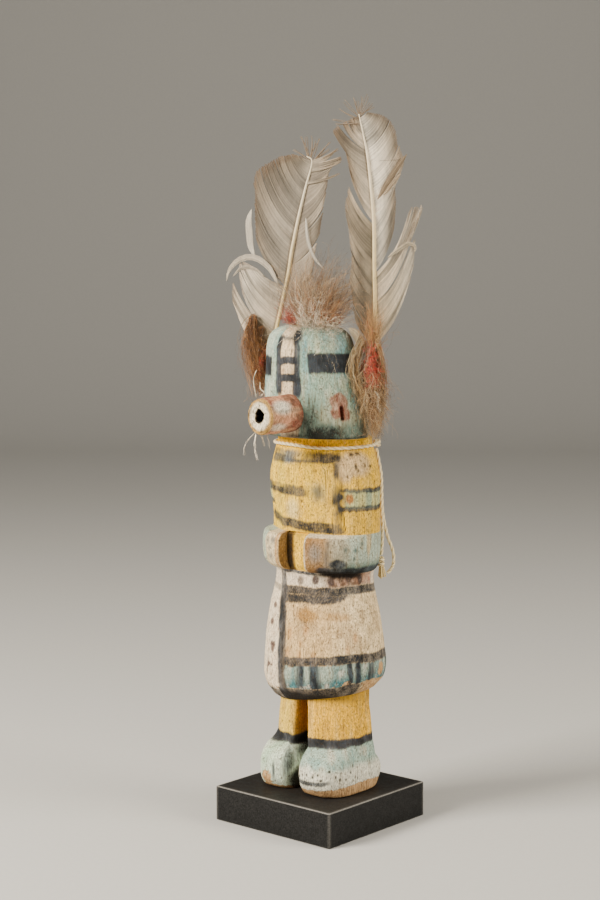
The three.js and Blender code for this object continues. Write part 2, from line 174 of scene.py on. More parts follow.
def with_ends(tints, first, last):
    """A grid's tints as rows, with one row more for each of a closed skin's two poles."""
    return np.vstack([tints.reshape(-1, 3), [first], [last]])


def joined(parts):
    """Several (points, faces, tints) as one."""
    points, faces, tints = zip(*parts)
    starts = np.cumsum([0] + [len(p) for p in points])
    moved = [[c + start for c in f] for start, some in zip(starts, faces) for f in some]
    return np.vstack(points), moved, np.vstack(tints)


def tube_quads(levels, around, starts=(0,)):
    """Quads between neighbouring rings; starts are the first points of tubes that are alike."""
    s, r, k = np.meshgrid(starts, np.arange(levels - 1), np.arange(around), indexing="ij")
    a, b = s + r * around + k, s + r * around + (k + 1) % around
    return np.stack([a, b, b + around, a + around], axis=-1).reshape(-1, 4).tolist()


def closed_skin(rings, first_pole, last_pole):
    """Points and faces of a surface that is round in its second index and closed by a fan at each end."""
    levels, around = rings.shape[:2]
    points = with_ends(rings, first_pole, last_pole)
    k = np.arange(around)
    low = np.stack([np.full(around, levels * around), (k + 1) % around, k], axis=-1)
    top = (levels - 1) * around
    high = np.stack([np.full(around, levels * around + 1), top + k, top + (k + 1) % around], axis=-1)
    return points, tube_quads(levels, around) + low.tolist() + high.tolist()


def sweep(centre, side, lift, outline):
    """Carries a small closed outline along many paths at once: point = centre + x * side + y * lift.
    centre, side and lift are (paths, steps, 3) arrays, and outline is a list of (x, y)."""
    outline = np.asarray(outline, float)
    paths, steps = centre.shape[:2]
    corners = len(outline)
    points = (centre[:, :, None] + outline[:, 0, None] * side[:, :, None]
              + outline[:, 1, None] * lift[:, :, None])
    starts = np.arange(paths) * steps * corners
    first = starts[:, None] + np.arange(corners)
    caps = first[:, ::-1].tolist() + (first + (steps - 1) * corners).tolist()
    return points.reshape(-1, 3), tube_quads(steps, corners, starts) + caps


def round_frame(line, up=(0.31, 0.23, 0.92)):
    """Two unit vectors square to paths (paths, steps, 3): up x tangent, and tangent x that."""
    tangent = unit(np.gradient(line, axis=1))
    side = unit(np.cross(np.asarray(up), tangent))
    return side, np.cross(tangent, side)


def ring_outline(corners):
    turn = 2 * np.pi * np.arange(corners) / corners
    return np.stack([np.cos(turn), np.sin(turn)], axis=-1)


# ---------------------------------------------------------------- materials

def add(tree, kind, *values, **named):
    """Adds one shader node. values fill its inputs in order. A lower-case name is the node's own property,
    and any other is an input's identifier, with _ for a space. A value is a constant, a node for its first
    output, or (node, output)."""
    node = tree.nodes.new("ShaderNode" + kind)
    for key in [key for key in named if key.islower()]:
        setattr(node, key, named.pop(key))
    sockets = {socket.identifier.replace(" ", "_"): socket for socket in node.inputs}
    for socket, value in [*zip(node.inputs, values), *((sockets[key], named[key]) for key in named)]:
        source, output = value if isinstance(value, tuple) and len(value) == 2 else (value, 0)
        if isinstance(source, bpy.types.Node):
            tree.links.new(source.outputs[output], socket)
        else:
            socket.default_value = source
    return node


def new_material(name):
    material = bpy.data.materials.new(name)
    material.use_nodes = True
    material.node_tree.nodes.clear()
    return material, material.node_tree


def rgba(colour):
    """A hex colour as a socket takes it; anything else is left as it is."""
    return (*linear(colour), 1.0) if isinstance(colour, str) else colour


def layered(tree, base, *rows):
    """Colours laid over base in order. Each row is (colour, amount)."""
    for colour, amount in rows:
        base = (add(tree, "Mix", amount, A_Color=rgba(base), B_Color=rgba(colour), data_type="RGBA"), 2)
    return base


def weighed(tree, total, *others):
    """total + weight * (value - 0.5) for each (value, weight), which adds noise and leaves the mean."""
    for value, weight in others:
        shifted = add(tree, "Math", value, weight, -0.5 * weight, operation="MULTIPLY_ADD")
        total = add(tree, "Math", total, shifted, operation="ADD")
    return total


def mapped_noise(tree, stretch, cell_mm, detail=3.0, rough=0.6, shift=0.0):
    """Noise on Object coordinates whose cells are cell_mm wide and 1/stretch times as tall."""
    place = (add(tree, "TexCoord"), "Object")
    turned = add(tree, "Mapping", place, (shift, shift, shift), Scale=(1.0, 1.0, stretch))
    return add(tree, "TexNoise", turned, Scale=1 / (cell_mm * MM), Detail=detail, Roughness=rough)


def shaded_coat(tree, value):
    """The piece's own colour, which its coat attribute holds, times a value."""
    coat = add(tree, "Attribute", attribute_name="coat")
    return add(tree, "Mix", 1.0, A_Color=coat, B_Color=value, data_type="RGBA", blend_type="MULTIPLY"), 2


def painted_cottonwood():
    """Cottonwood root, knife-carved, rubbed, and painted with thin clay and mineral colours.
    To the eye: a matt chalky skin put on with a dry brush, thin enough for the upright grain to show, with
    dirt in its pores, hairline drying cracks, and tan wood where it has flaked. Marks are read as fields that
    pass through 0.5 at a painted edge, so that the noise makes that edge ragged."""
    material, tree = new_material("painted cottonwood")
    marks = add(tree, "SeparateColor", add(tree, "Attribute", attribute_name="marks"))
    grain = mapped_noise(tree, 0.07, 0.75, 4.0, 0.65)        # wood fibres, 0.75 mm wide and 14 times as long
    fine = mapped_noise(tree, 0.5, 0.55, 4.0, 0.72, 0.37)    # chalky brush film, a little coarser than real
    cloud = mapped_noise(tree, 0.6, 5.0, 3.0, 0.55, 0.11)    # thicker and thinner places in the coat
    chips = mapped_noise(tree, 0.6, 1.4, 5.0, 0.72, 0.71)    # flakes of 1 to 2 mm
    pits = mapped_noise(tree, 0.7, 0.9, 3.0, 0.6, 0.93)      # pores that hold dirt
    checks = mapped_noise(tree, 0.035, 2.2, 2.0, 0.5, 0.53)  # drying cracks, 2 mm apart and very long

    shade = add(tree, "MapRange", cloud, 0.3, 0.7, 0.74, 1.18)
    film = add(tree, "MapRange", fine, 0.34, 0.66, 0.52, 1.34)
    coat = shaded_coat(tree, add(tree, "Math", shade, film, operation="MULTIPLY"))
    grime = add(tree, "MapRange", weighed(tree, pits, (cloud, 0.5)), 0.48, 0.68, 0.0, 0.32)
    fleck = add(tree, "MapRange", weighed(tree, chips, (fine, 0.4)), 0.54, 0.68, 0.0, 0.12)
    fibre = add(tree, "MapRange", grain, 0.5, 0.68, 0.0, 0.5)
    rubbed = add(tree, "MapRange", weighed(tree, fine, (grain, -0.4)), 0.57, 0.7, 0.0, 0.14)
    bare = add(tree, "MapRange", weighed(tree, (marks, 1), (chips, 2.3)), 0.5, 0.6)
    wood = layered(tree, "#d2ac7c", ("#a67e54", add(tree, "MapRange", grain, 0.42, 0.62)))
    worn = add(tree, "MapRange", weighed(tree, (marks, 0), (grain, 0.45), (fine, 0.95)), 0.18, 0.62)
    cover = add(tree, "MapRange", weighed(tree, fine, (cloud, 1.0)), 0.3, 0.7, 1.0, 0.74)
    wash = add(tree, "Math", worn, cover, operation="MULTIPLY")
    ink = layered(tree, "#202429", ("#394350", add(tree, "MapRange", cloud, 0.4, 0.62)))
    # the marks' third channel: soot, together with painted shade, laid near-black
    soot_shade_amount = add(tree, "MapRange", weighed(tree, (marks, 2), (fine, 1.3), (cloud, 0.5)), 0.12, 0.9, 0.0, 0.97)
    speck = add(tree, "MapRange", pits, 0.6, 0.7, 0.0, 0.7)
    off = add(tree, "Math", weighed(tree, 0.0, (checks, 1.0)), operation="ABSOLUTE")
    crack = add(tree, "Math", add(tree, "MapRange", off, 0.0, 0.013, 1.0, 0.0),
                add(tree, "MapRange", cloud, 0.42, 0.6, 0.0, 0.7), operation="MULTIPLY")
    tone = layered(tree, coat, ("#75644a", grime), ("#efe4c8", fleck), ("#7a5c3a", fibre),
                   ("#f4e6cd", rubbed), (wood, bare), (ink, wash), ("#0f0b08", soot_shade_amount), ("#4a3a29", speck),
                   ("#2c2118", crack))

    height = weighed(tree, fine, (grain, -0.8))
    for sunk, depth in ((bare, 0.6), (speck, 1.4), (crack, 1.6)):
        height = add(tree, "Math", sunk, -depth, height, operation="MULTIPLY_ADD")
    bump = add(tree, "Bump", Height=height, Strength=0.85, Distance=0.35 * MM)
    surface = add(tree, "BsdfPrincipled", tone, Roughness=0.88, Normal=bump, Specular_IOR_Level=0.22)
    add(tree, "OutputMaterial", surface)
    return material


def black_lacquer():
    """Medium-density board, sprayed with black satin lacquer and rubbed.
    To the eye: nearly black with a dull grey sheen, a fine even speckle, brown dust, and pale arrises that
    are worn paint with a painted highlight."""
    material, tree = new_material("satin black lacquered board")
    wear = add(tree, "SeparateColor", add(tree, "Attribute", attribute_name="wear"))
    speckle = mapped_noise(tree, 1.0, 0.6, 3.0, 0.7)
    dust = mapped_noise(tree, 1.0, 4.0, 5.0, 0.65, 0.23)
    grit = mapped_noise(tree, 1.0, 1.1, 4.0, 0.75, 0.61)
    dusty = add(tree, "MapRange", weighed(tree, dust, (grit, 0.9)), 0.36, 0.68)
    rubbed = add(tree, "MapRange", speckle, 0.3, 0.6, 0.4, 0.9)
    tone = layered(tree, "#0c0c0c", ("#2a2a2a", add(tree, "MapRange", speckle, 0.36, 0.68)),
                   ("#2e261e", add(tree, "Math", (wear, 1), dusty, operation="MULTIPLY")),
                   # painted highlight along the arrises, laid pale grey over the worn paint
                   ("#8d8a85", add(tree, "Math", (wear, 0), rubbed, operation="MULTIPLY")))
    bump = add(tree, "Bump", Height=speckle, Strength=0.35, Distance=0.1 * MM)
    rough = add(tree, "MapRange", dust, 0.3, 0.7, 0.5, 0.66)
    surface = add(tree, "BsdfPrincipled", tone, Roughness=rough, Normal=bump, Specular_IOR_Level=0.16)
    add(tree, "OutputMaterial", surface)
    return material


def keratin():
    """Feather barbs and quill: thin matt horn, a little of the light comes through it."""
    material, tree = new_material("worn feather barbs")
    streak = mapped_noise(tree, 0.4, 1.6, 4.0, 0.65)
    tone = shaded_coat(tree, add(tree, "MapRange", streak, 0.3, 0.7, 0.84, 1.1))
    surface = add(tree, "BsdfPrincipled", tone, Roughness=0.6, Specular_IOR_Level=0.4, Sheen_Weight=0.1,
                  Sheen_Roughness=0.5)
    add(tree, "OutputMaterial", add(tree, "MixShader", 0.16, surface, add(tree, "BsdfTranslucent", tone)))
    return material


def fur_hair():
    """Rabbit fur, natural and dyed: soft hair with a faint silk along it."""
    material, tree = new_material("dyed rabbit fur")
    streak = mapped_noise(tree, 0.5, 0.9, 2.0, 0.6)
    tone = shaded_coat(tree, add(tree, "MapRange", streak, 0.3, 0.7, 0.78, 1.14))
    surface = add(tree, "BsdfPrincipled", tone, Roughness=0.55, Specular_IOR_Level=0.4, Sheen_Weight=0.2,
                  Sheen_Roughness=0.4)
    add(tree, "OutputMaterial", surface)
    return material


def cotton_twine():
    """Unbleached cotton twine, two plies: matt cream, darker between the plies."""
    material, tree = new_material("unbleached cotton twine")
    fibres = mapped_noise(tree, 1.0, 0.35, 3.0, 0.7)
    tone = shaded_coat(tree, add(tree, "MapRange", fibres, 0.3, 0.7, 0.8, 1.1))
    bump = add(tree, "Bump", Height=fibres, Strength=0.6, Distance=0.15 * MM)
    surface = add(tree, "BsdfPrincipled", tone, Roughness=0.9, Normal=bump, Specular_IOR_Level=0.2,
                  Sheen_Weight=0.2, Sheen_Roughness=0.6)
    add(tree, "OutputMaterial", surface)
    return material


# ---------------------------------------------------------------- camera

CAMERA_SIDE = math.radians(40.8)  # the doll is seen from this far round to its left
CAMERA_DOWN = math.radians(6.65)
CAMERA_AT = (639.7, -756.9, 286)  # millimetres, above the soles


def put_camera():
    """An 80 mm lens on a 36 mm long side, looking down by CAMERA_DOWN."""
    data = bpy.data.cameras.new("camera")
    data.lens, data.sensor_width = 80, 36
    data.clip_start, data.clip_end = 0.05, 20
    camera = linked("camera", data)
    camera.location = (CAMERA_AT[0] * MM, CAMERA_AT[1] * MM, CAMERA_AT[2] * MM + SOLES)
    camera.rotation_euler = (math.pi / 2 - CAMERA_DOWN, 0, CAMERA_SIDE)
    bpy.context.scene.camera = camera


put_camera()


# ---------------------------------------------------------------- twine

BODY_Y = 3.3
TWINE = 1.7
HANG_ANGLE = 0.63  # radians from +X towards the back, where the twine is tied
RING_Z = 174
NECK_HALF = 26.6
DEPTH_SHARE = 0.71
# Both strands, and the knots, are rows of distance from the body's axis, sideways step and height.
INNER_STRAND = [[25.6, 0, 171.2], [26.6, 0, 166], [27.9, 0, 158], [28.2, 0, 150], [28.3, 0, 142],
                [28.9, 0, 133], [28.9, 0, 125], [28.4, 0, 117.5]]
OUTER_STRAND = [[25.6, 2.05, 171.2], [26.6, 2.05, 166], [28, 2.05, 158], [28.4, 2.05, 148], [28.8, 2.05, 140],
                [30.2, 2, 131.5], [31.8, 1.8, 125.5], [33.8, 1.4, 120.5], [34.6, 1, 116], [34.2, 0.6, 112],
                [32.6, 0.3, 109.4], [31.35, 0.1, 108.3]]
NAPE_KNOT, NAPE_RADIUS = (25.9, 1, 174), 2.4
END_KNOT = (28.3, 0, 112.9)
twine_material = cotton_twine()


def hang_point(rows):
    """Points on the twine's upright plane from rows of out from the body's axis, sideways step and height."""
    out, side, z = np.moveaxis(np.asarray(rows, float), -1, 0)
    return np.stack([out * math.cos(HANG_ANGLE) - side * math.sin(HANG_ANGLE),
                     BODY_Y + out * math.sin(HANG_ANGLE) + side * math.cos(HANG_ANGLE), z], axis=-1)


def twisted(line, pitch=3.6, sides=14, close=0.3):
    """Two-ply twine on one line: radius = r * (1 - c * sin^4(a - twist)), where twist turns half round each
    pitch. Returns points, faces and tints."""
    side, lift = round_frame(line[None])
    around = 2 * np.pi * np.arange(sides) / sides
    groove = np.sin(around[None] - np.pi * lengths_along(line)[:, None] / pitch) ** 4
    radius = TWINE / 2 * (1 - close * groove)
    rings = (line[:, None] + (radius * np.cos(around))[..., None] * side[0][:, None]
             + (radius * np.sin(around))[..., None] * lift[0][:, None])
    # darker in the grooves between the plies
    ply_groove_tint = np.append(groove.ravel(), [0, 0])[:, None]
    return (*closed_skin(rings, line[0], line[-1]), mix(linear("#f4e3b6"), linear("#b0915c"), 0.7 * ply_groove_tint))


def twine_piece(name, node, *parts):
    points, faces, tints = joined(parts)
    return piece(name, node, "twine", twine_material, points, faces, coat=tints)


def strand(name, node, stations, path_points, **facts):
    """One leg of the hanging loop, laid through its stations."""
    points = hang_point(stations)
    line = through(points, np.linspace(0, 1, 240), by_length=True)
    path = (through(points, np.linspace(0, 1, path_points), by_length=True) * MM + [0, 0, SOLES]).tolist()
    twine_piece(name, node, twisted(line))
    float(lengths_along(line)[-1] * MM)


def nape_knot():
    """A tight knot: twine wound as a Lissajous curve on a squashed ball."""
    t = np.linspace(0, 2 * np.pi, 260)
    turns, tall, core = 2, 1.1, NAPE_RADIUS - TWINE / 2
    wobble = np.random.default_rng(3).uniform(0, 6.28, 3)
    line = np.stack([core * np.cos(turns * t + wobble[0]), core * np.sin(turns * t),
                     tall * np.sin((turns + 1) * t + wobble[2])], axis=-1)
    return twisted(line + hang_point(NAPE_KNOT))


def neck_ring():
    """The twine round the neck: an ellipse just clear of the neck, from one side of the knot to the other."""
    knot_half = 0.12
    angle = HANG_ANGLE + 0.04 + knot_half + (2 * np.pi - 2 * knot_half) * np.linspace(0, 1, 420)
    reach = NECK_HALF * DEPTH_SHARE / np.hypot(DEPTH_SHARE * np.cos(angle), np.sin(angle)) + TWINE / 2 + 0.6
    line = np.stack([reach * np.cos(angle), BODY_Y + reach * np.sin(angle),
                     RING_Z + 0.35 * np.sin(3 * angle + 1)], axis=-1)
    return twisted(line)


def frayed_knot():
    """The knot that closes the loop: a wound ball above a skirt of loose twine ends."""
    middle = hang_point(END_KNOT)
    turn = np.linspace(0, 2 * np.pi * 2.5, 200)
    coil = np.stack([1.1 * np.cos(turn), 1.1 * np.sin(turn), mix(-1.8, 3.4, turn / turn[-1])], axis=-1)
    ends = 30
    random = np.random.default_rng(5)
    step = np.linspace(0, 1, 10)
    angle = random.uniform(0, 2 * np.pi, ends)
    spread = random.uniform(0.3, 2.6, ends)
    drop = random.uniform(5.6, 7.3, ends)
    flare = spread[:, None] * (0.45 + 0.55 * step)
    fibres = np.stack([flare * np.cos(angle[:, None]), flare * np.sin(angle[:, None]),
                       -drop[:, None] * step], axis=-1) + middle
    side, lift = round_frame(fibres)
    points, faces = sweep(fibres, side * 0.3, lift * 0.3, ring_outline(5))
    return twisted(coil + middle), (points, faces, np.tile(linear("#dcc489"), (len(points), 1)))


twine_piece("neck_twine", "neck_string", neck_ring())
twine_piece("nape_knot_wound", "nape_knot", nape_knot())
end_piece = twine_piece("loop_end_knot", "end_knot", *frayed_knot())
strand("twine_strand_inner", "string_strand_inner", INNER_STRAND, 20, with_pieces=[end_piece])
strand("twine_strand_outer", "string_strand_outer", OUTER_STRAND, 30)


# ---------------------------------------------------------------- figure: shape

HEM = [[47.3, 25.4], [48.7, 28.2], [50.7, 30.2], [53.4, 32.6], [56.8, 34], [60, 34.5]]
KILT = [[68, 34], [78, 33], [91.5, 30.6], [98, 29], [105, 27.5], [109.5, 27.2]]
TORSO = [[111.6, 28], [112.6, 29], [115.5, 30.3], [121.4, 31], [127, 31], [129.8, 30.9], [131.2, 30.9],
         [142, 30.8], [151, 31], [158, 30.8], [165, 29.3], [172.5, 27.2]]
NECK = [[174.2, 26.6], [177.6, 26.4]]
MASK = [[178.6, 28.3], [179.8, 29.2], [188, 28.9], [198, 27.8], [215.5, 25.4],
        [220.5, 24.7], [224.4, 23.8], [227.8, 22.4], [230.4, 19.9], [232, 16.6], [232.9, 11.2]]
CROWN = 233.2
MASK_BASE = (178.6, 0, -3.1)
MASK_TOP = (222, -1.8, -5.9)
HEM_TILT, HEM_TURN, HEM_TOP = 4, 0.35, 76
BAND_LOW, BAND_HIGH = 111.6, 131.2
HAND_RELIEF = 6.5
ELBOW = 1.5
HAND_GAP = (-0.205, 0.243)
HAND_WALL = 0.003  # radians either side of a hand's end over which its wall drops
HAND_RADIUS = 29  # from the axis to the hands, to turn angles into millimetres
FLANK_DEPTH, FLANK_LOW, FLANK_HIGH = 1.8, 136, 153
GROOVE_AT, GROOVE_WIDTH, GROOVE_DEPTH, GROOVE_HIGH = 0.86, 0.1, 1.1, 166
CHEST_CUT = 1.1
SLOT_ANGLE, SLOT_Z, SLOT_WIDTH, SLOT_HEIGHT, SLOT_DEPTH = 1.09, 191.5, 1.8, 6.5, 2
# Each crack is: degrees, from height, to height, depth.
CRACKS = [(52, 132, 142, 0.5), (68, 65, 75, 0.55), (32, 152, 163, 0.25), (-14, 141, 158, 0.2),
          (98, 66, 84, 0.4), (140, 120, 150, 0.5), (-120, 60, 90, 0.5), (165, 190, 214, 0.4),
          (6.5, 66, 80, 0.2), (-62, 185, 205, 0.3), (36, 84, 99, 0.15), (20, 156, 166, 0.15)]


def mask_centre(z):
    t = share((z - MASK_BASE[0]) / (MASK_TOP[0] - MASK_BASE[0]))
    return mix(MASK_BASE[1], MASK_TOP[1], t), mix(MASK_BASE[2], MASK_TOP[2], t)


def relief(angle, z):
    """How far the surface stands out from its ellipse: forearm band, hands, chest and grooves by the arms."""
    away = np.abs(angle)
    across = np.minimum(np.abs(2 * (z - BAND_LOW) / (BAND_HIGH - BAND_LOW) - 1), 1)
    arm = HAND_RELIEF * (1 - np.minimum(away / ELBOW, 1) ** 1.6) * np.sqrt(1 - across ** 4)
    to_hand = np.maximum(HAND_GAP[0] - angle, angle - HAND_GAP[1]) * HAND_RADIUS
    arm = arm * (1 - 0.16 * (1 - share(to_hand / 1.6)) ** 2)
    hollow = np.where(across < 1, -0.8, 0)
    out = mix(hollow, arm, ease(to_hand, -HAND_RADIUS * HAND_WALL, HAND_RADIUS * HAND_WALL))
    fade = fall(z, GROOVE_HIGH - 12, GROOVE_HIGH) * ease(z, BAND_HIGH - 1, BAND_HIGH - 0.6)
    out = out - CHEST_CUT * fade * fall(away, GROOVE_AT - 0.25, GROOVE_AT)
    out = out - GROOVE_DEPTH * fade * np.exp(-((away - GROOVE_AT) / GROOVE_WIDTH) ** 2)
    flank = ease(-angle, 0.3, 0.7) * fall(-angle, 1.5, 2.2) * fall(z, FLANK_LOW, FLANK_HIGH)
    out = out - FLANK_DEPTH * flank * (z > BAND_HIGH - 1)
    slot = (np.abs(angle - SLOT_ANGLE) < SLOT_WIDTH / 45) & (np.abs(z - SLOT_Z) < SLOT_HEIGHT / 2)
    return out - SLOT_DEPTH * slot


def crack_lines(degrees, z, narrow):
    """The drying cracks, as (depth, amount) pairs: the amount is 1 along a crack's wandering middle."""
    for at, low, high, depth in CRACKS:
        bent = at + 1.1 * waver(0 * degrees, z, 90, 6, int(abs(at) * 7))
        run = ease(z, low, low + 2) * fall(z, high - 3, high)
        yield depth, run * np.exp(-((degrees - bent) / narrow) ** 2)


def knife_work(degrees, z):
    """Low waves and upright facets left by the knife and rasp, and the drying cracks."""
    facets = waver(degrees, z, 9, 13, 21)
    out = 0.30 * waver(degrees, z, 24, 21, 20) + 0.16 * np.abs(facets) + 0.07 * waver(degrees, z, 2.2, 9, 22)
    out = out + 0.07 * waver(degrees, z, 3, 2.5, 23)
    for depth, amount in crack_lines(degrees, z, 0.75):
        out = out - depth * amount
    return out


def body_point(angle, z):
    """An ellipse with the relief and the knife work standing out along its normal, and the hem's tilt:
    x = cx + a sin(angle) + out nx, y = cy - 0.71 a cos(angle) + out ny."""
    head = z >= MASK[0][0]
    chin = share((z - NECK[-1][0]) / (MASK[0][0] - NECK[-1][0]))
    centre_x, centre_y = mask_centre(z)
    centre_x, centre_y = centre_x * chin, mix(BODY_Y, centre_y, chin)
    half = np.where(head, profile(z, MASK), profile(z, HEM + KILT + TORSO + NECK))
    half = np.where((chin > 0) & ~head, mix(NECK[-1][1], MASK[0][1], chin), half)
    normal = unit(np.stack([DEPTH_SHARE * np.sin(angle), -np.cos(angle)], axis=-1))
    out = relief(angle, z) + fall(z, 229, CROWN) * knife_work(np.degrees(angle), z)
    tilt = HEM_TILT * np.sin(angle - HEM_TURN) * fall(z, HEM[-1][0], HEM_TOP)
    return np.stack([centre_x + half * np.sin(angle) + out * normal[..., 0],
                     centre_y - DEPTH_SHARE * half * np.cos(angle) + out * normal[..., 1], z + tilt], axis=-1)


def body_levels():
    """Heights of the skin's rings, closer together at the ledges and the crown."""
    top = BAND_HIGH
    runs = [(47.3, 60, 0.55), (60, 111, 0.72), (111, 114, 0.25), (114, top - 2.9, 0.68),
            (top - 2.9, top + 0.6, 0.2), (top + 0.6, 172.5, 0.7), (172.5, 177.6, 0.75), (177.6, 179.8, 0.25),
            (179.8, 222, 0.66), (222, 232, 0.42), (232, 232.9, 0.15)]
    return np.concatenate([np.arange(low, high, step) for low, high, step in runs] + [[MASK[-1][0]]])


def body_angles(columns):
    """Even angles, with close ones down the hands' end walls and at the cheek slot's walls."""
    even = np.linspace(-np.pi, np.pi, columns, endpoint=False)
    wall = np.array([-0.011, *np.linspace(-HAND_WALL, HAND_WALL, 7), 0.011])
    ends = np.add.outer(HAND_GAP, wall).ravel()
    slot = np.array([SLOT_ANGLE - SLOT_WIDTH / 45, SLOT_ANGLE + SLOT_WIDTH / 45])
    clear = np.min(np.abs(np.subtract.outer(even, HAND_GAP)), axis=1) > 0.011
    return np.unique(np.concatenate([even[clear], ends, slot - 0.002, slot + 0.002]))


# ---------------------------------------------------------------- figure: paint

CREAM, PINK_CREAM, YELLOW, GOLD = "#ecc78e", "#fdeacb", "#fec92a", "#ffc814"
TURQUOISE, BLUE, BARE = "#8fab9a", "#3d7e86", "#c79a68"


def strip(x, low, high, soft):
    """1 between low and high and 0.5 at each, with edges blurred over soft."""
    return share((x - low) / soft + 0.5) * share((high - x) / soft + 0.5)


def daub(degrees, z, at, height, half_wide, half_tall, soft=0.35):
    """An oval dab; half_wide and half_tall are millimetres, with half a millimetre to a degree."""
    return fall(np.hypot((degrees - at) * 0.5 / half_wide, (z - height) / half_tall), 1 - soft, 1 + soft)


class Coat:
    """Paint over one surface: its colour, and how much dark wash, bare wood, and soot with painted shade lie
    on it, from 0 to 1.
    Each brush works as far as the field allows, which is 0 to 1 at each point."""

    def __init__(self, degrees, z, seed, text):
        self.degrees, self.z, self.field = degrees, z, 1.0
        self.colour = np.tile(linear(text), (*degrees.shape, 1))
        self.dark, self.bare, self.soot_shade_amount = (np.zeros(degrees.shape) for _ in range(3))
        ragged = 0.42 * waver(degrees, z, 11, 8, seed) + 0.32 * waver(degrees, z, 1.4, 30, seed + 1)
        self.y = z + ragged                                    # height as a hand-held brush keeps to it
        unsteady = 1.1 * waver(degrees, z, 8, 6, seed + 2) + 0.6 * waver(degrees, z, 2.5, 2.5, seed + 3)
        self.d = degrees + unsteady                            # and the angle
        self.smear = waver(degrees, z, 5, 22, seed + 4)
        self.drag = waver(degrees, z, 34, 1.5, seed + 7)       # a brush drawn sideways
        self.blotch = waver(degrees, z, 9, 7, seed + 5)
        self.mottle = waver(degrees, z, 3.2, 3, seed + 6)

    def parts(self):
        """What the painting functions work with, in one row."""
        return self.degrees, self.z, self.d, self.y, self.smear, self.blotch, self.mottle

    def lay(self, text, amount):
        self.colour = mix(self.colour, linear(text), share(self.field * amount)[..., None])

    def wash(self, amount):
        self.dark = np.maximum(self.dark, self.field * amount)

    def line(self, text, amount):
        self.wash(amount)
        self.lay(text, 0.9 * amount)

    def rub(self, amount):
        self.bare = np.maximum(self.bare, self.field * amount)

    # soot, and painted shade where shade falls on the figure, darken the coat by amount
    def soot_and_shade(self, amount):
        self.soot_shade_amount = np.maximum(self.soot_shade_amount, self.field * amount)

    def spots(self, text, strength, places, soft=0.5):
        """Dabs of one colour; places are rows of (degrees, height, half width, half height)."""
        for place in places:
            self.lay(text, strength * daub(self.degrees, self.z, *place, soft))

    def clear(self, amount):
        """Takes the dark wash away again."""
        self.dark = self.dark * (1 - self.field * amount)

    def marks(self):
        return share(np.stack([self.dark, self.bare, self.soot_shade_amount], axis=-1))


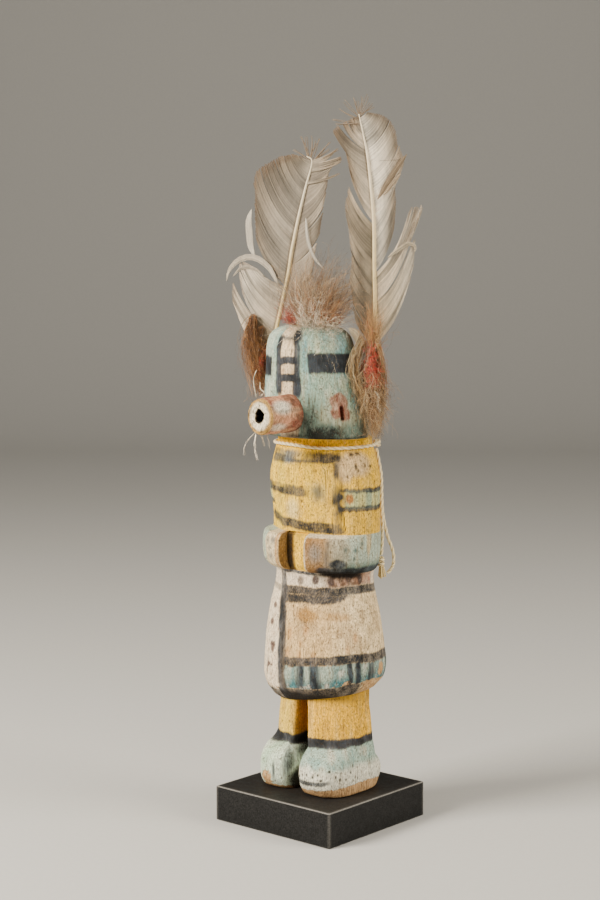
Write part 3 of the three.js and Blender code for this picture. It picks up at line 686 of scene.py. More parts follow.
def paint_kilt(coat):
    """Cream cloth panels with dark borders, and a light blue lower border with dark bars.
    Returns the upper edge of its top line."""
    degrees, z, d, y, smear, blotch, mottle = coat.parts()
    coat.field = z < BAND_LOW
    seam = np.interp(z, [50, 57, 80, 105, 112], [-13, -13.3, -15.8, -23.5, -25.5])
    left_of_seam = ease(seam - d, 0, 3)
    coat.lay(PINK_CREAM, left_of_seam * fall(-d, 70, 110))
    # painted light: paler cream towards the doll's left side, where the right-hand lamp falls
    coat.lay("#fde1b0", ease(degrees, 26, 60))
    coat.lay("#b99a70", 0.5 * ease(blotch, 0, 0.8) * ease(d, -10, 0))
    coat.lay("#a98a66", 0.45 * ease(mottle, 0.25, 0.8) * ease(d, -10, 0))
    coat.lay("#c9a684", 0.5 * ease(mottle, 0.3, 0.8) * left_of_seam)
    rise = round_line(degrees, [(-180, 65.5), (-60, 62.6), (-9, 63.6), (28, 66.3), (60, 67.6), (101, 68.6),
                                (140, 67.5), (180, 65.5)])
    hem_line = round_line(degrees, [(-180, 52.4), (-60, 50.5), (-7, 52.5), (28, 54.6), (60, 57.6), (82, 59.4),
                                    (110, 58.4), (180, 52.4)])
    beside = ease(d - seam, 2.5, 5) + (degrees < -70)
    blue = (y < rise) * (y > hem_line - 0.4) * beside
    coat.lay("#a6b6a6", blue)
    coat.lay(BLUE, blue * share(0.1 + 0.5 * smear + 0.8 * fall(y, hem_line, hem_line + 6)))
    coat.lay("#e3dccb", blue * 0.5 * ease(mottle, 0.3, 0.8))
    bars = [(6.8, 3.8), (22, 5.4), (55.3, 2.8), (63.8, 3), (79.2, 3.6), (112, 3), (140, 3), (172, 4),
            (-75, 3), (-100, 4), (-135, 3)]
    for at, half in bars:
        coat.line("#5f7072", blue * (0.68 + 0.25 * smear) * strip(d, at - half, at + half, 3))
    coat.wash(strip(y, rise, rise + 4.3, 1.6) * (0.9 + 0.1 * smear) * beside)
    coat.line("#7b7572", strip(d, seam - 5.4, seam + 5.4, 2.4) * (0.56 + 0.15 * smear))
    low_edge = round_line(degrees, [(-180, 100), (-20, 99.5), (3, 100.2), (39, 100.5), (88, 101.7),
                                    (180, 100)])
    high_edge = round_line(degrees, [(-180, 103.6), (-20, 103.2), (3, 103.7), (39, 104.4), (88, 105.6),
                                     (180, 103.6)])
    faint = 0.45 * ease(seam - d, 0, 2) * (degrees > -70)
    coat.wash(strip(y, low_edge, high_edge, 1.4) * (beside + faint) * (0.94 + 0.06 * smear))
    second_low = round_line(degrees, [(-30, 95.6), (4, 95.8), (39, 96.8), (62, 99.6)])
    second = strip(z + 1.6 * (y - z), second_low, low_edge - 0.35 * fall(degrees, 4, 30) + 0.3, 2)
    coat.wash(second * fall(degrees, 50, 70) * beside * (degrees > -40) * (0.84 + 0.16 * smear))
    coat.wash(strip(y, 110, 111.8, 1) * (degrees > -24) * fall(degrees, 14, 26) * 0.9)
    hem_dark = fall(y, hem_line - 1.6, hem_line + 0.4) * (degrees > -22)
    coat.wash(hem_dark * fall(degrees, 60, 78) * (0.92 + 0.08 * smear))
    coat.soot_and_shade(0.8 * hem_dark * fall(degrees, 20, 70) * fall(y, 49, 52))
    coat.wash(0.6 * fall(y, 49, 51))
    coat.rub(fall(y, hem_line - 0.6, hem_line + 1) * ease(degrees, 60, 76) * 0.75)
    coat.rub(0.8 * daub(d, y, 95, 64, 3, 4.2))
    coat.rub(0.75 * daub(d, y, 52, 57, 2.2, 1.8))
    coat.rub(0.45 * fall(y, 50, 56) * (degrees < -20))
    coat.spots("#e3dccb", 0.9, [(8, 53.6, 1.2, 0.9), (12, 54, 1, 0.8), (16, 55, 0.9, 0.9),
                                (33, 55.5, 1, 1.6)])
    stain = daub(d, y, 14, 90.3, 6, 3.6, 0.6) + 0.8 * daub(d, y, 38, 90.2, 11, 2, 0.6)
    coat.lay("#ab7a34", np.clip(stain * (0.6 + 0.5 * blotch), 0, 0.8))
    rust = [(6, 70, 1.1, 2.2), (6.5, 76, 0.9, 1.7), (20, 71, 1.1, 2.2), (53, 74, 1, 2), (62, 80, 1.3, 2.5),
            (12, 83, 1.4, 2.8), (-6, 80, 1.7, 3.4), (-7, 71, 1.4, 2.8)]
    coat.spots("#b87c3a", 0.5, rust, 0.8)
    ring = np.abs(np.hypot((degrees - 45) * 0.47, z - 81) - 1.2)
    coat.lay("#8a6b4a", 0.7 * fall(ring, 0.1, 0.5))
    tail = (np.abs(z - 61.8) < 1.7 * share((-27.5 - d) / 13)) * strip(d, -40.5, -27.5, 1)
    upright = strip(d, -41.8, -39.6, 1.5) * strip(z, 55.6, 65, 0.8)
    corner = 0.75 * strip(d, -28, -22, 2) * strip(z, 104, 111, 1)
    coat.lay("#4a2c33", share(tail + upright + corner) * 0.88)
    coat.spots("#4a2c33", 0.9, [(-35, 92, 2, 1.5), (-36.5, 83.4, 1.9, 1.7), (-32.4, 72.3, 1.5, 1.6),
                                (-28.4, 72.3, 1.5, 1.6), (-30.4, 69.8, 1.6, 1.5)], 0.35)
    return high_edge


def paint_belt(coat, low):
    """Pinkish cream with purple-grey dots, dirty and pinker towards the left side, with painted shade under
    the forearm band.
    """
    degrees, z, d, y, smear, blotch, mottle = coat.parts()
    coat.field = (z < BAND_LOW) * strip(y, low + 0.3, 112, 1)
    coat.lay("#f1dfc6", 0.95)
    side = ease(degrees, 26, 42)
    coat.lay("#a86f52", side * fall(degrees, 92, 106) * (0.75 + 0.25 * blotch))
    ply_groove_tint = share(0.5 + 1.3 * waver(degrees, z, 3, 1.5, 41))
    coat.lay("#3c2a20", 0.7 * ply_groove_tint * side * fall(degrees, 74, 92))
    dots = [(0.9, 106.8, 0.7), (20.1, 107.8, 0.95), (37.9, 107.5, 0.9), (59.3, 108.8, 0.8), (76.5, 108.6, 1)]
    hidden = [(at, 107, 0.8) for at in (120, 145, 170, -165, -140, -115, -90)]
    for at, height, strength in dots + hidden:
        coat.spots("#413439", strength, [(at, height, 2.1, 2.3)], 0.3)
    coat.spots("#9c3a26", 0.8, [(95.7, 108, 0.8, 1)], 0.35)
    coat.field = 1.0
    # painted shadow of the forearm band across the belt's top, and painted shade under the band at the sides
    # and back
    coat.soot_and_shade(strip(z + 1.2 * (y - z), 109.3, 113.2, 2) * ease(degrees, 14, 30) * fall(degrees, 66, 88))
    coat.soot_and_shade(0.4 * strip(z, 110.5, 112.4, 1) * (ease(-degrees, 20, 60) + ease(degrees, 110, 150)))


def paint_torso(coat):
    """Yellow with dark bands across the chest, pale green armbands, and bare patches on the shoulder."""
    degrees, z, d, y, smear, blotch, mottle = coat.parts()
    torso = (z >= BAND_LOW) * (z < MASK[0][0])
    bodice = torso * (z > BAND_HIGH)
    coat.field = torso
    coat.lay(YELLOW, 1.0)
    coat.lay("#fcd548", bodice * np.clip(0.5 * smear + 0.7 * ease(-degrees, -5, 30), 0, 0.9))
    coat.lay("#f4dfa2", 0.6 * daub(d, y, -6, 142, 4.5, 5, 0.6))
    coat.lay("#cfa860", bodice * 0.4 * ease(degrees, 18, 42) * fall(degrees, 105, 130) * share(0.5 + smear))
    coat.lay("#b08c48", bodice * 0.45 * ease(mottle, 0.3, 0.9))
    coat.lay(GOLD, ease(z, 168.5, 172.5))
    # painted shade on the neck under the mask's overhang, mottled
    coat.soot_and_shade(0.25 * strip(z, 175.5, 180, 2) * ease(mottle, 0.1, 0.6))
    coat.field = bodice
    inward = fall(np.abs(degrees), 46, 54)
    top_low = round_line(degrees, [(-60, 163.8), (5, 165.6), (37, 166.6), (60, 167)])
    coat.wash(inward * strip(y, top_low, 171.8, 2) * (0.6 + 0.3 * coat.drag))
    streak = ease(waver(degrees, z, 14, 30, 43), -0.1, 0.6)
    coat.lay("#87979c", inward * 0.8 * strip(y, top_low, 171.5, 2) * streak)
    broken = ease(degrees, -64, -54) * fall(degrees, 2, 20)
    coat.wash(strip(y, 149.1, 154.3, 2.2) * broken * (0.7 + 0.34 * coat.drag))
    coat.lay("#6f8682", 0.6 * daub(d, y, 22, 151.5, 3.6, 4.6, 0.9))
    coat.wash(0.5 * daub(d, y, 23, 151, 2.6, 4, 0.9))
    low_band = round_line(degrees, [(-50, 135.2), (-19, 133.4), (12, 131.6), (50, 131.6)])
    ends = fall(np.abs(degrees + 2), 46, 60)
    coat.wash(strip(y, low_band, low_band + 4.8, 2.2) * ends * (0.82 + 0.3 * coat.drag))
    coat.wash(0.8 * strip(d, 42, 49, 4) * strip(z, 131, 160, 10) * share(0.8 + 0.6 * smear))
    coat.wash(0.66 * strip(d, 39, 46, 4) * strip(z, 158, 168, 4))
    coat.lay("#dfbe8c", share(daub(d, y, 66, 166, 11, 6, 0.35) + daub(d, y, 52, 162, 4, 5, 0.5)) * 0.95)
    coat.spots("#21150d", 0.95, [(66, 164.6, 0.9, 1.5), (68.5, 162.8, 0.7, 0.7), (88, 164.6, 1, 0.8),
                                 (62, 170.6, 1.6, 1), (70, 171, 1.8, 0.8), (79, 165, 0.7, 0.6),
                                 (5.4, 147, 0.5, 1), (92, 157, 0.6, 0.5), (55, 160, 0.5, 1.1),
                                 (84, 161, 0.5, 0.6)])
    for side in (1, -1):
        armband = strip(side * d, 52, 128, 4) * strip(y, 143.8, 153.2, 1)
        coat.lay("#c3c78e", armband * (0.9 + 0.1 * blotch))
        coat.lay("#8fae9d", armband * 0.6 * ease(smear, 0, 0.7))
        for low, high, strength in ((151.8, 154.2, 0.8), (142.6, 145.2, 0.86)):
            edge = strip(side * d, 44, 130, 3) * strip(y, low, high, 1.6)
            coat.wash(edge * share(strength + 0.2 * smear + 0.2 * coat.drag))
    teal = (daub(d, y, 46, 147, 3.6, 6, 0.6) + 0.8 * daub(d, y, 43, 154, 2.6, 4, 0.7)) * (0.7 + 0.7 * mottle)
    coat.lay("#23423f", 0.6 * share(teal))
    coat.wash((0.42 + 0.5 * mottle) * daub(d, y, 46, 147.5, 3.8, 7, 0.9))
    scab = daub(d, y, 57.3, 149, 2.2, 2.4, 0.3)
    coat.lay("#a86a2e", 0.95 * scab)
    coat.clear(scab)


def paint_arms(coat):
    """Turquoise forearms that end in bare tan hands, with painted highlights along the left hand's end and
    the band's top edge, and the hollow between the hands' ends darkened by a painted shadow of the right hand
    over some dirt.
    """
    degrees, z, d, y, smear, blotch, _ = coat.parts()
    arms = (z >= BAND_LOW) * (z <= BAND_HIGH) * (np.abs(degrees) < 150)
    right_end, left_end = np.degrees(HAND_GAP)
    between = (degrees > right_end + 0.1) * (degrees < left_end - 0.1)
    on_left = degrees > left_end
    coat.field = arms
    coat.lay("#b2c2b0", ~between)
    coat.lay("#cfb27c", ~between * 0.7 * ease(blotch + smear, 0.2, 1.1))
    coat.lay("#a08868", 0.65 * ease(d, 28, 36) * fall(d + 6 * blotch, 42, 62))
    left_hand = (degrees >= left_end - 0.1) * fall(d + 4 * blotch, 29, 42)
    coat.lay("#a67e4c", left_hand)
    coat.lay("#946838", left_hand * ease(blotch, -0.1, 0.7) * 0.7)
    coat.lay("#858078", left_hand * 0.8 * daub(d, y, 25, 122.5, 3, 4.5, 0.8))
    # painted highlight along the left hand's end
    coat.lay("#f0e2c6", 0.85 * strip(degrees, left_end + 0.4, left_end + 2, 0.8))
    # painted highlight along the forearm band's top edge
    coat.lay("#eddcb8", 0.85 * ease(z, BAND_HIGH - 1.8, BAND_HIGH - 0.8) * on_left * fall(degrees, 50, 62))
    coat.wash(on_left * 0.8 * fall(y, 114, 117) * ease(degrees, 20, 30))
    coat.wash(0.8 * daub(d, y, 45, 117.5, 4, 2.6, 0.5))
    coat.wash(0.5 * strip(d, 33, 37, 4) * strip(y, 114, 129, 3))
    coat.lay("#4f6c62", 0.75 * fall(y, 115, 120) * ease(degrees, 40, 55))
    dabs = [(52, 124.5, 0.9, 1.2), (62, 124, 1, 1.1), (61, 120, 0.8, 1), (70, 127, 0.9, 1)]
    coat.spots("#35585a", 0.8, dabs, 0.6)
    right_hand = (degrees <= right_end + 0.1) * fall(-d, 30, 34)
    coat.field = arms * right_hand
    coat.lay("#e6d2aa", 1.0)
    coat.lay("#c08f55", 0.8 * strip(degrees, right_end - 4, right_end - 0.8, 1.5))
    coat.spots("#7c7b76", 0.8, [(-22, 118.5, 1.5, 1.5), (-19, 126.6, 1.6, 1.6), (-24, 122.5, 1, 1),
                                (-28, 126, 1.2, 1.2)], 0.7)
    coat.field = arms
    walls = np.minimum(np.abs(degrees - right_end), np.abs(degrees - left_end)) < np.degrees(HAND_WALL) + 0.01
    coat.lay("#b08c50", walls)
    coat.field = arms * between
    coat.clear(1.0)
    # painted shadow of the right hand on the belly, over some dirt
    coat.lay("#7d5a10", fall(degrees, right_end + 6, right_end + 9))
    coat.soot_and_shade(0.75 * fall(degrees, right_end + 4, right_end + 8) * strip(z, 112, 131, 3))


def paint_mask(coat):
    """Turquoise, worn, with dark eyes, a cream stripe between dark lines, red petals round the slot, and soot
    with painted shade along its lower edge and beside the snout.
    """
    degrees, z, d, y, smear, blotch, mottle = coat.parts()
    mask = coat.field = z >= MASK[0][0]
    coat.lay(TURQUOISE, 1.0)
    coat.lay("#cfdcc6", 0.8 * ease(-degrees, 8, 34))
    coat.lay("#689aa0", 0.7 * ease(waver(degrees, z, 12, 14, 51), 0, 0.8))
    coat.lay("#bfb78e", 0.5 * ease(waver(degrees, z, 10, 9, 52), 0.1, 0.9) * ease(degrees, 10, 30))
    coat.lay("#dfe0c8", 0.4 * ease(mottle, 0.3, 0.9))
    coat.lay("#71908c", 0.7 * ease(z, 221, 229) * ease(degrees, 20, 60))
    coat.lay("#6a5532", 0.75 * ease(degrees, 80, 112) * fall(degrees, 150, 175) * ease(blotch, -0.7, 0.4))
    coat.lay("#6a5532", 0.5 * ease(-degrees, 84, 112) * fall(-degrees, 150, 175))
    left_line = np.interp(z, [190, 203, 217, 228], [-12.8, -13.3, -14.6, -14.8])
    right_line = np.interp(z, [190, 203, 217, 228], [12, 12.4, 13.8, 12.6])
    coat.field = mask * strip(d, left_line, right_line, 2)
    coat.lay("#ead2ae", 1.0)
    coat.lay("#c69a68", 0.55 * ease(blotch + 0.6 * mottle, 0.1, 0.8))
    stripe, coat.field = coat.field, mask
    left_rail = strip(d, left_line - 3, left_line + 5.6, 2.2) * strip(z, 200, 228.5, 3)
    right_rail = strip(d, right_line - 4.5, right_line + 4, 2.6) * strip(z, 199, 231, 3)
    coat.line("#4f4e48", left_rail * share(1 + 0.4 * smear))
    coat.line("#4b4a44", right_rail * share(0.96 + 0.4 * smear))
    for low, high in ((214.6, 218), (206.2, 209.6)):
        coat.line("#57534b", stripe * strip(y, low, high, 1.2))
    coat.wash(stripe * 0.62 * strip(y, 226.2, 228.4, 1.6))
    coat.line("#5a574e", 0.8 * daub(d, z, 14, 228.6, 3.2, 3, 0.7))
    left_eye = strip(d, 26.5, 90.5, 2.4) * strip(y, 210.7, 220.2, 1.4)
    eyes = left_eye + strip(-d, 28, 92, 2.4) * strip(y, 208, 217.8, 1.4)
    coat.wash(eyes * 0.7)
    coat.soot_and_shade(eyes * 0.3)
    coat.lay("#2e2922", eyes * 0.85)
    petals = [(54.5, 197), (60.5, 198.2), (66.5, 196.8), (54.5, 191.6), (66.6, 191.2), (60.5, 194)]
    left_cheek = sum(daub(d, y, at, height, 3.3, 3.1, 0.2) for at, height in petals)
    cheek = share(left_cheek + daub(d, y, -58, 194, 6, 5.6, 0.2))
    coat.lay("#946e5c", cheek)
    coat.lay("#c3a68e", cheek * 0.7 * ease(waver(degrees, z, 3, 5, 54), 0, 0.7) * ease(y, 190, 195))
    coat.lay("#70382c", cheek * 0.7 * ease(mottle, 0.2, 0.8))
    coat.spots("#6a261e", 1, [(math.degrees(SLOT_ANGLE), SLOT_Z, 1.9, 4.2)], 0.3)
    coat.clear(cheek)
    # soot along the mask's lower edge, with painted shade under its edge and beside the snout
    low = fall(z + 0.8 * (y - z) + 1.2 * mottle, 181, 192.5)
    coat.soot_and_shade(low * ease(degrees, 2, 30) * fall(degrees, 100, 125) * (0.95 - 0.45 * ease(degrees, 40, 80)))
    coat.soot_and_shade(0.7 * fall(y, 179.6, 182.4))
    coat.soot_and_shade(0.7 * daub(d, y, 25, 188.5, 8, 9, 0.9))
    coat.rub(0.5 * daub(d, z, 96, 215, 4, 6, 0.5))
    coat.bare = coat.bare * (1 - 0.7 * mask * share(eyes))


def figure_coat(degrees, z):
    """The painted scheme laid on in the maker's order, from kilt to mask. Returns colours and marks."""
    coat = Coat(degrees, z, 31, CREAM)
    paint_belt(coat, paint_kilt(coat))
    for paint in (paint_torso, paint_arms, paint_mask):
        paint(coat)
    coat.field = 1.0
    coat.rub(0.06 + 0.12 * waver(degrees, z, 30, 18, 35))
    for depth, amount in crack_lines(degrees, z, 0.7):
        coat.soot_and_shade(min(1, 1.8 * depth) * amount)
    return coat.colour, coat.marks()


wood_material = painted_cottonwood()


def figure_body():
    angle, z = np.meshgrid(body_angles(288), body_levels())
    rings = body_point(angle, z)
    skin = closed_skin(rings, (0, BODY_Y, HEM[0][0]), (*mask_centre(CROWN), CROWN))
    colour, marks = figure_coat(np.degrees(angle), rings[..., 2])
    piece("carved_body_and_mask", "figure", "painted_wood", wood_material, *skin,
          coat=with_ends(colour, linear(BARE), linear(TURQUOISE)),
          marks=with_ends(marks, (0, 0.3, 0.6), (0.1, 0.2, 0)))
# ---------------------------------------------------------------- legs and feet

LEG_Y = 3.6
LEGS = [[14, 25.6], [20, 26], [26, 26.6], [32, 26.1], [37.5, 25.6], [43, 25], [54, 25]]
# The slit between the legs is: height, the right leg's face, the left leg's face.
SLIT = [[0, -6.3, 3.5], [19, -6.1, 3.4], [46.4, -3.8, 2.1], [56, -3.1, 1.6]]
FOOT_X, FOOT_WIDEN = {1: 12.9, -1: -14}, {1: 1.08, -1: 1}  # 1 is the left foot, -1 the right
FOOT = [[0, 12, 19.5, 20], [1.2, 12.2, 20.9, 21.2], [5.6, 12.5, 23, 23.6], [9, 12.6, 23.2, 24.2],
        [12.5, 12.6, 23, 22.6], [17, 12.2, 21.4, 18.8], [20.5, 11.6, 17.4, 18], [23, 10.6, 12.2, 17],
        [25.5, 9.6, 9, 15.5]]
FOOT_SQUARE = 3


def leg_and_foot(side):
    """One leg as a star-shaped surface about the foot's axis. The leg's reach is the ray's meeting with the
    post's ellipse or with the slit's face, whichever is nearer; the foot's is that of its rounded outline;
    the greater of the two, rounded where they cross, is the surface."""
    z = np.concatenate([np.arange(0, 1.4, 0.2), np.arange(1.4, 30, 0.45), np.arange(30, 54.6, 0.8)])
    turn = np.linspace(-np.pi, np.pi, 190, endpoint=False)
    turn, z = np.meshgrid(turn, z)
    about = np.degrees(turn)
    dx, dy = np.sin(turn), -np.cos(turn)
    post, middle = profile(z, LEGS), FOOT_X[side]
    px, py = middle, -LEG_Y
    a = (dx / post) ** 2 + (dy / (DEPTH_SHARE * post)) ** 2
    b = px * dx / post ** 2 + py * dy / (DEPTH_SHARE * post) ** 2
    c = (px / post) ** 2 + (py / (DEPTH_SHARE * post)) ** 2 - 1
    round_reach = (-b + np.sqrt(np.maximum(b * b - a * c, 0))) / a
    face = np.interp(z, [r[0] for r in SLIT], [r[2 if side > 0 else 1] for r in SLIT])
    wobble = 0.5 * waver(about, z, 120, 9, 61 + side) + 0.25 * waver(about, z, 120, 3, 63)
    inward = np.maximum(-side * dx, 1e-6)
    flat_reach = (np.abs(middle - face) + wobble) / inward
    leg = (round_reach ** -9 + flat_reach ** -9) ** (-1 / 9)
    leg = leg * ease(z, 9, 18) + 1e-6
    half, front, behind = np.moveaxis(profile(z, FOOT), -1, 0)
    half = half * FOOT_WIDEN[side]
    reach = np.where(dy < 0, front, behind)
    foot = (np.abs(dx / half) ** FOOT_SQUARE + np.abs(dy / reach) ** FOOT_SQUARE) ** (-1 / FOOT_SQUARE)
    foot = np.where(z > FOOT[-1][0], 0, foot) + 1e-6
    ridge = 14
    blended = (leg ** ridge + foot ** ridge) ** (1 / ridge)
    greater = np.where(np.abs(leg - foot) > 6, np.maximum(leg, foot), blended)
    around = np.degrees(np.arctan2(middle + greater * dx, -(greater * dy - LEG_Y) / DEPTH_SHARE))
    out = 0.22 * waver(about + 90 * side, z, 20, 9, 65) + 0.13 * np.abs(waver(about, z, 9, 11, 66 + side))
    out = out + 0.06 * waver(about, z, 3, 3, 67)
    greater = greater + out * ease(z, 0, 2)
    rings = np.stack([middle + greater * dx, greater * dy, z], axis=-1)
    colour, marks = leg_coat(side, around, z, about)
    name = "left_leg_and_foot" if side > 0 else "right_leg_and_foot"
    skin = closed_skin(rings, (middle, 0, 0), (middle, 2, 55.4))
    piece(name, "figure", "painted_wood", wood_material, *skin,
          coat=with_ends(colour, linear(BARE), linear(YELLOW)),
          marks=with_ends(marks, (0, 0.8, 0.3), (0, 0, 0.6)))


def leg_coat(side, around, z, about):
    """Yellow legs with a dark ankle band over turquoise and mint feet, bare along the soles, with painted
    shade on the legs' inner faces, under the kilt and between the feet. around is the angle about the doll's
    axis and about is the angle about the foot's own."""
    left = side > 0
    coat = Coat(around, z, 71, "#fcc02c" if left else "#ffd654")
    y, smear, blotch, mottle = coat.y, coat.smear, coat.blotch, coat.mottle
    inner = ease(-side * np.sin(np.radians(about)), 0.35, 0.75)
    coat.lay("#f6dc94", 0.4 * ease(smear, 0, 0.8) * (z > 26))
    coat.lay("#c08a34", 0.35 * ease(blotch, 0.1, 0.8))
    coat.lay("#a98346", 0.35 * ease(mottle, 0.25, 0.9) * (z > 26))
    # painted shade: the inner faces, in the slit between the legs, are a darker orange
    coat.lay("#cc8610", 0.9 * inner * ease(z, 24, 28))
    # more painted shade on the inner faces
    coat.soot_and_shade((0.16 if left else 0.1) * inner * ease(z, 24, 28) * (1 - 0.4 * ease(z, 30, 44)))
    # painted shadow on the legs under the kilt's hem
    coat.soot_and_shade(0.4 * strip(z, 45.5, 60, 3))
    turns = (-180, -30, 12, 41, 92, 180)
    band_low = np.interp(around, turns, (23.6, 22.6, 22.6, 23.8, 25.3, 23.6))
    band_high = np.interp(around, turns, (27.2, 26.2, 27.1, 27.2, 28.4, 27))
    coat.field = fall(y, band_low - 0.4, band_low + 0.6)
    coat.lay("#b0cabb" if left else "#dcf0d6", 1.0)
    if left:
        coat.lay("#fbf5e0", 0.85 * fall(y + 2.5 * blotch, 12, 17))
        coat.lay("#d9cfb8", 0.6 * ease(blotch, 0.2, 0.8))
        coat.lay("#6fa3a0", 0.5 * ease(mottle, 0.2, 0.8) * ease(y, 10, 16))
    else:
        coat.lay("#98bf9e", 0.5 * ease(blotch, 0, 0.8))
        coat.lay("#eaf1e0", 0.5 * ease(smear, 0.1, 0.8))
    coat.field = 1.0
    coat.line("#54534f", strip(y, band_low - 0.3, band_high + 0.3, 1.6))
    coat.soot_and_shade(0.4 * strip(y, band_low, band_high, 2) * share(0.6 + 0.6 * smear))
    # painted shade on the inner faces about the ankles
    coat.soot_and_shade(0.85 * inner * strip(z, 17, 27, 4))
    coat.rub(0.06 + 0.12 * waver(around, z, 22, 14, 75))
    left_sole = [(-180, 3.2), (-60, 3.4), (-7, 3.4), (40, 5.6), (120, 5.6), (180, 3.2)]
    sole_line = round_line(about, left_sole) if left else 2.2
    sole = fall(y, sole_line - 0.8, sole_line + 0.2)
    coat.rub(sole)
    coat.soot_and_shade(0.4 * sole * ease(mottle, 0, 0.7))
    if left:
        coat.wash(0.85 * strip(y, sole_line + 2, sole_line + 4.2, 1.4) * strip(about, -70, 26, 16))
        dots = [(-14, 10.5), (-6, 11), (4, 10.6), (12, 12), (16, 9.5), (-22, 9), (34, 11), (40, 9.4),
                (60, 12), (72, 9), (80, 8), (26, 14), (50, 9), (66, 15), (-30, 13)]
        for k, (at, height) in enumerate(dots):
            coat.soot_and_shade(daub(about, z, at, height, 0.6 + 0.15 * (k % 3), 0.8, 0.5))
    else:
        # strength, then angle, height, half width, half height and softness
        coat.rub(0.9 * daub(about, y, -6, 4.7, 4.6, 4.6, 0.4))
        # painted shade on the right foot's inner side, next to the left foot, and at its bottom
        for strength, *dab in ((1, 44, 4, 9, 7, 0.4), (0.9, 66, 10, 5, 12, 0.6), (0.6, 30, 15, 2.2, 5, 0.6)):
            coat.soot_and_shade(strength * daub(about, y, *dab))
        for strength, *dab in ((0.8, -34, 8, 3, 4, 0.6), (0.6, 24, 14, 3, 9, 0.8), (0.7, 6, 9, 1.2, 5, 0.8)):
            coat.wash(strength * daub(about, y, *dab))
    coat.soot_and_shade(0.6 * fall(z, 0, 0.9))
    return coat.colour, coat.marks()


figure_body()
leg_and_foot(1)
leg_and_foot(-1)


# ---------------------------------------------------------------- snout

SNOUT_Z, SNOUT_BASE, SNOUT_TIP = 190.7, -18.6, -45.6
SNOUT_RADIUS, SNOUT_TIP_RADIUS, SNOUT_FLAT = 9.6, 8.6, 0.92
BORE_RADIUS, BORE_DEPTH = 3, 16


def snout():
    """A slightly oval tube about the Y axis: a profile of radius and reach, left uneven by the knife."""
    length = SNOUT_BASE - SNOUT_TIP
    side = np.linspace(0, 1, 46)
    wall = np.stack([mix(SNOUT_RADIUS, SNOUT_TIP_RADIUS, side), side * (length - 0.9)], axis=-1)
    bend = np.linspace(0.2, np.pi / 2, 6)
    rim = np.stack([SNOUT_TIP_RADIUS - 0.9 + 0.9 * np.cos(bend), length - 0.9 + 0.9 * np.sin(bend)], axis=-1)
    across = np.linspace(SNOUT_TIP_RADIUS - 1.3, BORE_RADIUS + 0.4, 12)
    face = np.stack([across, np.full(12, length)], axis=-1)
    inward = length - 0.4 - (BORE_DEPTH - 0.4) * np.linspace(0, 1, 24)
    bore = np.stack([np.full(24, BORE_RADIUS), inward], axis=-1)
    rows = np.vstack([wall, rim, face, bore])
    turn = np.linspace(0, 2 * np.pi, 120, endpoint=False)
    degrees = np.degrees(turn)[None] * np.ones((len(rows), 1))
    radius, along = rows[:, :1] * np.ones_like(degrees), rows[:, 1:] * np.ones_like(degrees)
    inside = np.arange(len(rows))[:, None] >= len(rows) - 25
    on_face = along > length - 0.05
    out = 0.42 * waver(degrees, along, 36, 9, 81) + 0.2 * np.abs(waver(degrees, along, 12, 8, 82))
    out = out + 0.12 * waver(degrees, along, 5, 2.4, 83)
    bore_out = 0.5 * waver(degrees, 0 * along, 60, 5, 84) + 0.3 * waver(degrees, 0 * along, 20, 5, 85)
    radius = radius + np.where(inside, bore_out, out * ease(radius, BORE_RADIUS, SNOUT_TIP_RADIUS - 1))
    dish = 0.4 * waver(degrees, radius, 60, 4, 86) + 0.16 * waver(degrees, radius, 18, 1.6, 80)
    dish = dish * (along >= length - 0.01)
    rings = np.stack([SNOUT_FLAT * radius * np.cos(turn), SNOUT_BASE - along + dish,
                      SNOUT_Z + radius * np.sin(turn)], axis=-1)
    coat = Coat(degrees, along, 83, "#d89a78")
    blotch, smear = waver(degrees, along, 24, 5, 87), waver(degrees, along, 16, 12, 88)
    fleck = waver(degrees, along + radius, 12, 1.6, 89)
    from_rim = SNOUT_TIP_RADIUS - radius
    from_side = np.mod(degrees + 180, 360) - 180
    coat.lay("#904636", 0.9 * ease(blotch, -0.1, 0.6))
    coat.lay("#dcb184", 0.6 * ease(smear, 0.1, 0.8))
    coat.lay("#7c4436", 0.85 * fall(along + 5 * smear, 5, 15))
    coat.lay("#54382c", 0.65 * ease(fleck, 0.15, 0.7))
    coat.lay("#fff4dc", daub(from_side, along, 30, 18.5, 11, 5.5, 0.5)
             + 0.7 * daub(from_side, along, -38, 21, 7, 5, 0.6))
    coat.lay("#cfa874", 0.8 * ease(along, length - 2.2, length - 0.8))
    coat.lay("#fff3d4", on_face * ease(from_rim, 0.9, 2))
    coat.lay("#bd9448", 0.8 * (along > length - 0.9) * fall(from_rim, 1.0, 2.6))
    coat.lay("#8d7a60", 0.4 * on_face * ease(fleck, 0.1, 0.6))
    # painted shade: the bore is laid near-black inside, darkest deepest in
    coat.lay("#0b0907", inside)
    coat.soot_and_shade(inside * ease(length - along, 0.1, 1.6))
    # darker on the snout's underside next to the mask
    coat.soot_and_shade(0.6 * ease(-along, -9, -4) * ease(-np.sin(turn), 0.3, 0.9))
    coat.soot_and_shade(0.5 * on_face * ease(waver(degrees, radius * 1.4, 20, 1.4, 90), 0.35, 0.7))
    coat.rub(0.16 + 0.2 * blotch - 0.4 * on_face)
    coat.wash(0.4 * ease(smear, 0.3, 1) * (along < length - 2))
    skin = closed_skin(rings, (0, SNOUT_BASE, SNOUT_Z), (0, SNOUT_TIP + BORE_DEPTH, SNOUT_Z))
    # the bore's closed end takes the same near-black painted shade
    piece("snout_tube", "snout", "snout_wood", wood_material, *skin,
          coat=with_ends(coat.colour, linear(BARE), linear("#0b0907")),
          marks=with_ends(coat.marks(), (0, 0.5, 0), (0, 0, 1)))


snout()


# ---------------------------------------------------------------- socle

